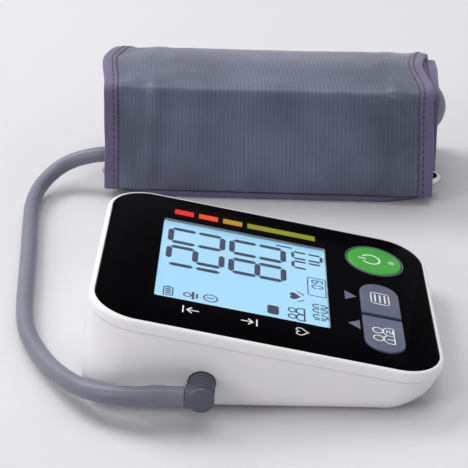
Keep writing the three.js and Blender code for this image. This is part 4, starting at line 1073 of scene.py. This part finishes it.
displaySet = {
    # digit, top left corner, height, width and bar width
    "readings": [("1", -38.0, -12.6, 21.8, 11.6, 2.2), ("2", -38.0, 0.8, 21.8, 11.8, 2.2),
                 ("0", -38.0, 14.3, 21.8, 12.6, 2.2), ("8", -14.8, -0.2, 21.8, 12.2, 2.2),
                 ("0", -14.8, 14.6, 21.8, 12.2, 2.2), ("7", 9.0, 13.2, 12.2, 6.2, 1.2),
                 ("0", 9.0, 20.6, 12.2, 6.2, 1.2)],
    # the clock and the count of memories, with a narrower gap between their bars
    "smallDigits": [("1", 16.2, -24.6, 5.4, 2.7, 0.6), ("0", 16.2, -21.4, 5.4, 2.7, 0.6),
                    ("0", 16.2, -17.2, 5.4, 2.7, 0.6), ("0", 16.2, -14.0, 5.4, 2.7, 0.6),
                    ("0", 16.3, 0.2, 4.4, 2.8, 0.6), ("9", 16.3, 4.0, 4.4, 2.8, 0.6)],
    "smallGap": 0.12,
    # ends and width: a bar by the readings, the clock's dots, the battery's cells and tip, a cuff, a dial
    "strokes": [((3.6, 28.7), (9.0, 28.7), 0.9), ((18.0, -18.0), (18.05, -18.0), 0.6),
                ((20.0, -18.0), (20.05, -18.0), 0.6), ((-36.1, -23.8), (-34.7, -23.8), 0.75),
                ((-36.1, -22.4), (-34.7, -22.4), 0.75), ((-36.1, -21.0), (-34.7, -21.0), 0.75),
                ((-35.8, -19.2), (-35.0, -19.2), 0.6), ((-26.6, -24.6), (-26.6, -20.2), 0.9),
                ((-25.2, -23.8), (-25.2, -21.0), 0.7), ((-21.6, -22.0), (-19.2, -22.0), 0.5)],
    # middle, radius, width, start and end in degrees: the arm, the dial, a heart's two beats
    "rings": [((-28.6, -22.4), 1.3, 0.5, 0, 360), ((-20.4, -22.0), 2.4, 0.5, 0, 360),
              ((9.8, -8.4), 3.7, 0.45, 25, 75), ((9.8, -8.4), 3.7, 0.45, -75, -25)],
    # edges, corner and line: round the count of memories and the battery
    "frames": [(14.9, 21.6, -5.4, 8.0, 0.9, 0.42), (-37.0, -33.8, -25.2, -19.6, 0.4, 0.45)],
    "block": (-0.2, 4.0, -24.4, -18.4, 1.0),
    "persons": [(8.6, -23.2), (8.6, -18.8)],
    "heart": (9.8, -8.4, 4.8),
    "sink": 0.01,
}


def displayShapes():
    shapes = []
    for digit in displaySet["readings"]:
        shapes += digitShapes(*digit)
    for digit in displaySet["smallDigits"]:
        shapes += digitShapes(*digit, displaySet["smallGap"])
    shapes += [flatStroke(*stroke) for stroke in displaySet["strokes"]]
    shapes += [ringShape(*ring) for ring in displaySet["rings"]]
    for *edges, width in displaySet["frames"]:
        shapes += outlineStrokes(roundedOutline(*edges), width)
    for a, b in displaySet["persons"]:
        shapes += personShapes(a, b, 4.6, 0.6)
    shapes.append(flatShape(roundedOutline(*displaySet["block"])))
    shapes.append(flatShape(heartOutline(*displaySet["heart"])))
    return shapes


makePrint("displaySegments", displayShapes(), finishes["segments"], lcdHigh.z, "case",
          displaySet["sink"])


def userSign():  # two persons, numbered one and two in strokes
    a, b = longMiddle, (userLow.y + userHigh.y) / 2 - 0.6
    shapes = []
    for side in (-2.6, 2.6):
        shapes += personShapes(a - 2.6, b + side, 6.0, 0.42)
    shapes += strokes([((0.9, -2.6), (3.0, -2.6))], 0.42, a, b)
    turns = [(0.9, 1.7), (0.9, 3.4), (1.95, 3.4), (1.95, 1.7), (3.0, 1.7), (3.0, 3.4)]
    return shapes + strokes(zip(turns, turns[1:]), 0.38, a, b)


def memorySign():  # three stacked lines in a frame
    a, b = longMiddle, (memoryLow.y + memoryHigh.y) / 2 + 0.3
    shapes = strokes([((level, -2.6), (level, 2.6)) for level in (-1.8, 0.0, 1.8)], 0.55, a, b)
    return shapes + outlineStrokes(roundedOutline(a - 3.3, a + 3.3, b - 4.0, b + 4.0, 0.9), 0.42)


makePrint("userSign", userSign(), finishes["whiteInk"], userHigh.z, "user_key")
makePrint("memorySign", memorySign(), finishes["whiteInk"], memoryHigh.z, "memory_key")
print("prints made")


# Inner pieces and small fittings keep their CAD shape and get their own finish
def numbered(name, count):
    return [name + "_" + str(i + 1) for i in range(count)]


nodeFinishes = {
    "white": ["battery_door"],
    "window": ["display_window"],
    "display": ["lcd_module"],
    "diffuser": ["lcd_backlight"],
    "rubber": [*numbered("rubber_foot", 4), "connector_seal"],
    "nickel": [*numbered("case_screw", 4), *numbered("contact_bridge", 3), "contact_minus", "contact_plus",
               "motor_shaft", "valve_plunger"],
    "zinc": ["motor_can", "exhaust_valve"],
    "board": ["main_board"],
    "darkPlastic": ["tact_switch_power", "tact_switch_memory", "tact_switch_user", "pump_head", "air_manifold",
                    "pressure_sensor"],
    "silicone": ["pump_tube", "sensor_tube", "valve_tube"],
    "sleeve": numbered("battery", 4),
    "slate": ["air_port"],
    "hose": ["bladder_port"],
    "lining": ["ring_loop"],
}
for finishName, names in nodeFinishes.items():
    for name in names:
        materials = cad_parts[name].data.materials
        materials.clear()
        materials.append(finishes[finishName])
print("node finishes set")


# Cuff: one strip of cloth wound inwards on a flattened roll. Local frame: X along, Y back, Z up, millimetres.
cuffSet = {
    "half": 72.5,
    "pitch": 3.0,  # from turn to turn
    "start": -3.2,
    "innerEnd": 15.0,
    "layers": (0.0, 0.5, 0.8, 1.5, 1.8, 2.3),  # cloth, gap, bladder, gap, lining: depths into the stack
    "innerShift": 1.8,  # how far the inner turn has slipped along the roll
    "cornerReach": 26.0,  # rounded corners of the free end
    "clothEdge": 5.4,  # how far the tape covers the cloth
    "liningStart": 54.0,
}
# The roll seen from its end: Y back and Z up, once round from the front foot
profilePoints = [
    (8, 0), (20, 0), (32, 0), (45, 0), (57, 0), (64, 1.4), (69.4, 5.2), (72.2, 10.5), (73, 17), (73, 26),
    (72.6, 34), (70.8, 42.4), (66.2, 48.2), (60, 51.5), (52, 54.4), (42, 56.5), (30, 57.4), (17, 56.6),
    (8, 55.4), (2.8, 54.0), (0.4, 51.0), (0, 45), (0, 36), (0, 26), (0, 16), (0.1, 6.5), (1.3, 1.7), (8, 0),
]


def smoothLoop(points, step):  # closed curve through the points, resampled evenly
    knots = [Vector(p) for p in points[:-1]]
    n = len(knots)
    dense = []
    for i in range(n):
        a, b, c, d = (knots[(i + k - 1) % n] for k in range(4))
        for j in range(12):
            t = j / 12
            dense.append(((b * 2) + (c - a) * t + (a * 2 - b * 5 + c * 4 - d) * t * t +
                          (b * 3 - a - c * 3 + d) * t ** 3) / 2)
    dense = [Vector((p.x, max(p.y, 0.0))) for p in dense]
    dense.append(dense[0].copy())
    runs = [0.0]
    for p, q in zip(dense, dense[1:]):
        runs.append(runs[-1] + (q - p).length)
    count = round(runs[-1] / step)
    even = []
    k = 0
    for i in range(count):
        goal = runs[-1] * i / count
        while runs[k + 1] < goal:
            k += 1
        share = (goal - runs[k]) / max(runs[k + 1] - runs[k], 1e-9)
        even.append(dense[k].lerp(dense[k + 1], share))
    return even, runs[-1]


outerLoop, perimeter = smoothLoop(profilePoints, 1.0)
loopStep = perimeter / len(outerLoop)


def averaged(loop, reach):
    n = len(loop)
    return [sum((loop[(i + k) % n] for k in range(-reach, reach + 1)), Vector((0, 0))) / (2 * reach + 1)
            for i in range(n)]


innerLoop = averaged(averaged(outerLoop, 5), 4)


def loopNormals(loop):
    n = len(loop)
    result = []
    for i in range(n):
        way = loop[(i + 1) % n] - loop[(i - 1) % n]
        result.append(Vector((way.y, -way.x)).normalized())
    return result


outerNormals = averaged(loopNormals(outerLoop), 1)
innerNormals = loopNormals(innerLoop)


def sampleLoop(loop, s):
    place = (s % perimeter) / loopStep
    i = int(place)
    share = place - i
    n = len(loop)
    return loop[i % n].lerp(loop[(i + 1) % n], share)


frontCrease = perimeter - 62.0  # about where the front wall's top crease lies, as a length along the strip
wrapStart = cuffSet["start"]
wrapEnd = 2 * perimeter - 5.6 - cuffSet["innerEnd"]


def wrinkle(s, x):  # soft buckles in the cloth, mm outwards
    at = s % perimeter
    wave = 0.9 * noise.noise(Vector((x / 30, at / 34, 3.1)))
    nearEnd = easeStep((abs(x) - 34) / 28)
    wave += nearEnd * 1.6 * noise.noise(Vector((x / 7.5, at / 34, 7.7)))
    wave += nearEnd * 1.1 * noise.noise(Vector(((x + at * 0.5) / 9, (at - x) / 22, 1.3)))
    onFront = easeStep((at - frontCrease) / 12)
    wave += onFront * 1.2 * math.exp(-((x + 55 + (at - perimeter) * 0.09) / 3.6) ** 2)
    wave -= onFront * 0.9 * math.exp(-((x + 47 + (at - perimeter) * 0.05) / 4.5) ** 2)
    wave += onFront * 0.9 * math.exp(-((x - 59) / 3.2) ** 2)
    wave += onFront * 0.5 * noise.noise(Vector((x / 11, at / 60, 4.4)))
    wave += 0.16 * noise.noise(Vector((x / 5, at / 5, 9.2)))
    overTop = easeStep((at - 100) / 20) * (1 - easeStep((at - frontCrease + 14) / 14))
    return wave * (1 - 0.5 * overTop)


def woundPoint(s, x, depth):
    inner = easeStep((s - perimeter + 4) / 40)
    onLoop = max(s, 0)
    place = sampleLoop(outerLoop, onLoop).lerp(sampleLoop(innerLoop, onLoop), inner)
    normal = sampleLoop(outerNormals, onLoop).lerp(sampleLoop(innerNormals, onLoop), inner).normalized()
    if s < 0:  # the free end runs on flat along the floor, out in front
        place = Vector((8 + s, 0))
        normal = Vector((0, -1))
    free = easeStep((place.y - 1.0) / 9)
    inward = depth + cuffSet["pitch"] * onLoop / perimeter - free * wrinkle(s, x) * (1 - 0.35 * inner)
    slip = inner * cuffSet["innerShift"]
    late = s - (2 * perimeter - 58)
    if late > 0:
        slip *= 1 - 0.85 * easeStep(late / 34)
    at = s % perimeter
    overTop = easeStep((at - 110) / 40) * (1 - easeStep((at - frontCrease + 30) / 34))
    slip -= (0.85 * easeStep((s - 40) / 90) + 4.2 * overTop) * (1 - inner)
    point = place - normal * inward
    drawnIn = 1 - 0.024 * easeStep(point.y / 52)  # the roll is a little narrower higher up
    return Vector((x * drawnIn + slip, point.x, max(point.y, 0.12 + depth * 0.95)))


def startAt(x):  # the free end has rounded corners
    corner = cuffSet["cornerReach"]
    over = max(0.0, abs(x) - (cuffSet["half"] - corner)) / corner
    return wrapStart + 18.0 * (1 - math.sqrt(max(0.0, 1 - min(over, 1.0) ** 2)))


def woundSheet(name, fromS, toS, x0, x1, outer, inner, columns, curvedStart=False, step=2.0):
    rows = max(2, round((toS - fromS) / step))
    points, uvs = [], []
    for depth in (outer, inner):
        for r in range(rows + 1):
            for c in range(columns + 1):
                x = x0 + (x1 - x0) * c / columns
                s0 = max(fromS, startAt(x) + 4) if curvedStart else fromS
                s = s0 + (toS - s0) * r / rows
                points.append(woundPoint(s, x, depth))
                uvs.append((x * millimetre, s * millimetre))
    width = columns + 1
    offset = (rows + 1) * width
    faces = []
    for r in range(rows):
        for c in range(columns):
            a = r * width + c
            faces.append((a, a + 1, a + width + 1, a + width))
            faces.append((offset + a, offset + a + width, offset + a + width + 1, offset + a + 1))
    for r in range(rows):
        for c, flip in ((0, False), (columns, True)):
            a, b = r * width + c, (r + 1) * width + c
            face = (a, b, offset + b, offset + a)
            faces.append(face[::-1] if flip else face)
    for c in range(columns):
        for r, flip in ((0, True), (rows, False)):
            a = r * width + c
            face = (a, a + 1, offset + a + 1, offset + a)
            faces.append(face[::-1] if flip else face)
    return finishCloth(name, points, faces, uvs)


def finishCloth(name, points, faces, uvs):
    piece = meshPiece(name, points, faces)
    layer = piece.data.uv_layers.new(name="clothUV")
    for loop in piece.data.loops:
        layer.data[loop.index].uv = uvs[loop.vertex_index]
    faceOutwards(piece)
    return placePiece(piece, cuffPlace)


def edgePath(kind):  # edge points (x, s) with the way into the cloth, every 2 mm
    half = cuffSet["half"]
    path = []
    if kind == "end":
        steps = 90
        straight = 0.6  # share of the edge before its corners, which need closer points
        for i in range(steps + 1):
            share = 2 * i / steps - 1
            if abs(share) >= straight:
                turn = (abs(share) - straight) / (1 - straight) * math.pi / 2
                share = math.copysign(straight + (1 - straight) * math.sin(turn), share)
            path.append((half * share, startAt(half * share)))
    else:
        x = -half if kind == "left" else half
        begin = startAt(half)
        count = round((wrapEnd - begin) / 2.0)
        path = [(x, begin + (wrapEnd - begin) * i / count) for i in range(count + 1)]
    result = []
    for i, (x, s) in enumerate(path):
        ahead = Vector(path[min(i + 1, len(path) - 1)]) - Vector(path[max(i - 1, 0)])
        ahead.normalize()
        way = Vector((-ahead.y, ahead.x))
        inwards = {"left": way.x, "right": -way.x, "end": way.y}[kind]
        result.append((x, s, *(way if inwards >= 0 else -way)))
    return result


def edgeRuns(path):  # the length along an edge up to each of its points
    runs = [0.0]
    for p, q in zip(path, path[1:]):
        runs.append(runs[-1] + (Vector(q[:2]) - Vector(p[:2])).length)
    return runs


# A closed section, in (distance in from the edge, depth), carried along an edge; shift gives its sideways drift
def carrySection(name, path, section, shift):
    points, uvs = [], []
    for i, ((x, s, dx, ds), run) in enumerate(zip(path, edgeRuns(path))):
        for t, depth in section:
            across = t + shift(i, run, t)
            points.append(woundPoint(s + ds * across, x + dx * across, depth))
            uvs.append((run * millimetre, t * millimetre))
    return finishCloth(name, points, sleeveFaces(len(path), len(section)), uvs)


tapeSection = [(6.0, -0.32), (4.6, -0.30), (4.2, -0.22), (3.8, -0.30), (1.0, -0.38), (0.25, -0.12), (0.0, 0.6),
               (0.0, 1.7), (0.25, 2.35), (1.0, 2.6), (3.8, 2.62), (6.0, 2.6)]


def makeTape(name, kind, node):
    path = edgePath(kind)
    seed = 5.5 if kind == "left" else 8.8

    def wander(i, run, t):  # hand-guided sewing: the tape's inner edge less than its outer one
        return 0.45 * noise.noise(Vector((run / 16, seed, 0))) * (1.0 if t < 3 else 0.7)

    tape = carrySection(name, path, tapeSection, wander)
    return settle(tape, "case", finishes["tape"], [node], 50), path


stitchSet = {
    "length": 2.1,
    "pitch": 3.2,
    "in": 4.3,  # from the cloth's edge
    "drift": 0.18,
    "section": [(-0.34, -0.24), (-0.2, -0.52), (0.2, -0.52), (0.34, -0.24), (0.0, -0.1)],
}


def makeStitches(name, path):  # dark dashes, each a flat five-sided thread
    points, faces, uvs = [], [], []
    runs = edgeRuns(path)
    length = stitchSet["length"]
    section = stitchSet["section"]

    def spot(run, t, depth):
        i = max(0, min(len(path) - 2, next((k for k, r in enumerate(runs) if r > run), len(path) - 1) - 1))
        share = (run - runs[i]) / max(runs[i + 1] - runs[i], 1e-6)
        x, s, dx, ds = [a + (b - a) * share for a, b in zip(path[i], path[i + 1])]
        return woundPoint(s + ds * t, x + dx * t, depth)

    run = 2.0
    while run < runs[-1] - 3:
        t = stitchSet["in"] + stitchSet["drift"] * noise.noise(Vector((run / 9, 2.2, 4.4)))
        start = len(points)
        for ahead, size in ((0.0, 0.4), (0.3, 1.0), (length - 0.3, 1.0), (length, 0.4)):
            for side, depth in section:
                points.append(spot(run + ahead, t + side * size, depth * (0.6 + 0.4 * size)))
                uvs.append((run * millimetre, t * millimetre))
        faces += sleeveFaces(4, len(section), start)
        run += stitchSet["pitch"]
    stitches = finishCloth(name, points, faces, uvs)
    return settle(stitches, "case", finishes["thread"], (), 40)


def makeTapeEdgeShade(name, path):  # painted shade: a thin dark line along the tape's inner edge, where the tape steps down onto the cloth, with a ragged outer side
    section = [(5.7, -0.1), (5.9, -0.16), (6.3, -0.13), (6.55, 0.0), (6.3, 0.12), (5.7, 0.1)]

    def ragged(i, run, t):
        if t <= 6:
            return 0
        return 0.22 * noise.noise(Vector((i * 0.9, 6.1, 0))) + 0.12 * noise.noise(Vector((i * 0.23, 1.9, 0)))

    line = carrySection(name, path, section, ragged)
    # the thread's dark colour here is painted shade beside the tape's edge
    return settle(line, "case", finishes["thread"], (), 50)


def makeCuff():
    cloth, gap, bladderTop, bladderFoot, liningTop, liningFoot = cuffSet["layers"]
    inside = cuffSet["half"] - cuffSet["clothEdge"]
    liningStart = cuffSet["liningStart"]
    fabric = woundSheet("cuffFabric", wrapStart, wrapEnd, -inside, inside, cloth, gap, 84, True, 1.7)
    settle(fabric, "case", finishes["nylon"], ["cuff_outer_fabric"], 60)
    lining = woundSheet("cuffLining", liningStart, wrapEnd, -inside, inside, liningTop, liningFoot, 60,
                        False, 2.4)
    settle(lining, "case", finishes["lining"], ["cuff_lining"], 60)
    bladder = woundSheet("cuffBladder", 66.0, wrapEnd - 4, -62, 62, bladderTop, bladderFoot, 40, False, 3.0)
    settle(bladder, "case", finishes["bladder"], ["cuff_bladder"], 60)
    hook = woundSheet("cuffHookPatch", wrapStart + 7, 50.0, -60, 60, 1.4, liningFoot, 40, False, 2.4)
    settle(hook, "case", finishes["pile"], ["cuff_hook_patch"], 60)
    loops = woundSheet("cuffLoopPatch", perimeter + 8, perimeter + 50, -60, 60, -0.55, -0.12, 40, False, 2.4)
    settle(loops, "case", finishes["pile"], ["cuff_loop_patch"], 60)
    for name, kind, node in (("cuffTapeLeft", "left", "cuff_binding_left"),
                             ("cuffTapeRight", "right", "cuff_binding_right"),
                             ("cuffTapeEnd", "end", "cuff_end_binding")):
        tape, path = makeTape(name, kind, node)
        makeStitches(name + "Stitches", path)
        # beside each side tape, a thin dark line of painted shade
        if kind != "end":
            makeTapeEdgeShade(name + "Edge", path)


makeCuff()


# Metal ring: polished wire, round at both ends, lying inside the front of the roll
def makeRing():
    points = [cuffPlace.inverted() @ (v.co / millimetre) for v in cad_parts["metal_ring"].data.vertices]
    low, high = [Vector([pick(p[k] for p in points) for k in range(3)]) for pick in (min, max)]
    wire = (high.z - low.z) / 2
    bend = (high.y - low.y) / 2 - wire
    reach = (high.x - low.x) / 2 - wire - bend
    centre = (low + high) / 2
    line = []
    for side in (1, -1):
        for i in range(21):
            angle = math.pi * i / 20 - math.pi / 2
            out = Vector((reach + bend * math.cos(angle), bend * math.sin(angle), 0))
            line.append(centre + out * side)
    ring, spline = tubeCurve("ringWire", line, wire)
    spline.use_cyclic_u = True
    makeActive(ring)
    bpy.ops.object.convert(target="MESH")
    ring = bpy.context.object
    placePiece(ring, cuffPlace)
    return settle(ring, "ring", finishes["ring"], ["metal_ring"], 60)


makeRing()
print("ring made")


# Floor, light and finish
def makeStage():
    clearSelection()
    bpy.ops.mesh.primitive_plane_add(size=6, location=(0, 0, -0.0004))
    floor = bpy.context.object
    floor.name = "studioFloor"
    finish, tree, shader, place = startMaterial("paleFloorPaint", "#dcdbdd", 0.9)
    mottle(tree, shader, place, "#dbdadc", "#dddcde", 2)
    shader.inputs["Specular IOR Level"].default_value = 0.1
    floor.data.materials.append(finish)
    world = bpy.data.worlds.new("studioWorld")  # seen pale, but lights the object only gently
    bpy.context.scene.world = world
    world.use_nodes = True
    tree = world.node_tree
    tree.nodes.clear()
    rays = addNode(tree, "ShaderNodeLightPath")
    seen = addNode(tree, "ShaderNodeMath", {"operation": "MAXIMUM"},
                   {0: rays.outputs["Is Camera Ray"], 1: rays.outputs["Is Glossy Ray"]})
    shown = addNode(tree, "ShaderNodeMath", {"operation": "MAXIMUM"},
                    {0: seen.outputs[0], 1: rays.outputs["Is Transmission Ray"]})
    fill = addNode(tree, "ShaderNodeBackground", {"Color": linear("#dedee2"), "Strength": 0.55})
    pale = addNode(tree, "ShaderNodeBackground", {"Color": linear("#e4e3e8"), "Strength": 1.0})
    mixed = addNode(tree, "ShaderNodeMixShader", {},
                    {0: shown.outputs[0], 1: fill.outputs[0], 2: pale.outputs[0]})
    addNode(tree, "ShaderNodeOutputWorld", {}, {"Surface": mixed.outputs[0]})


lampSet = [  # name, place, aim, size, power in watts
    ("keyLamp", (-1.1, 0.75, 1.4), (0.0, 0.0, 0.02), 0.9, 19.0),
    ("overheadLamp", (0.1, 0.1, 1.8), (0.0, -0.02, 0.0), 1.2, 9.5),
    ("frontLamp", (-1.35, -1.0, 0.75), (0.0, 0.0, 0.03), 0.6, 7.5),
]


def makeLamps():
    for name, place, aim, size, power in lampSet:
        clearSelection()
        bpy.ops.object.light_add(type="AREA", location=place)
        lamp = bpy.context.object
        lamp.name = name
        lamp.data.size = size
        lamp.data.energy = power
        aimed = (Vector(aim) - Vector(place)).to_track_quat("-Z", "Y")
        lamp.matrix_world = Matrix.Translation(place) @ aimed.to_matrix().to_4x4()


makeStage()
makeLamps()
clearSelection()
print("scene ready")
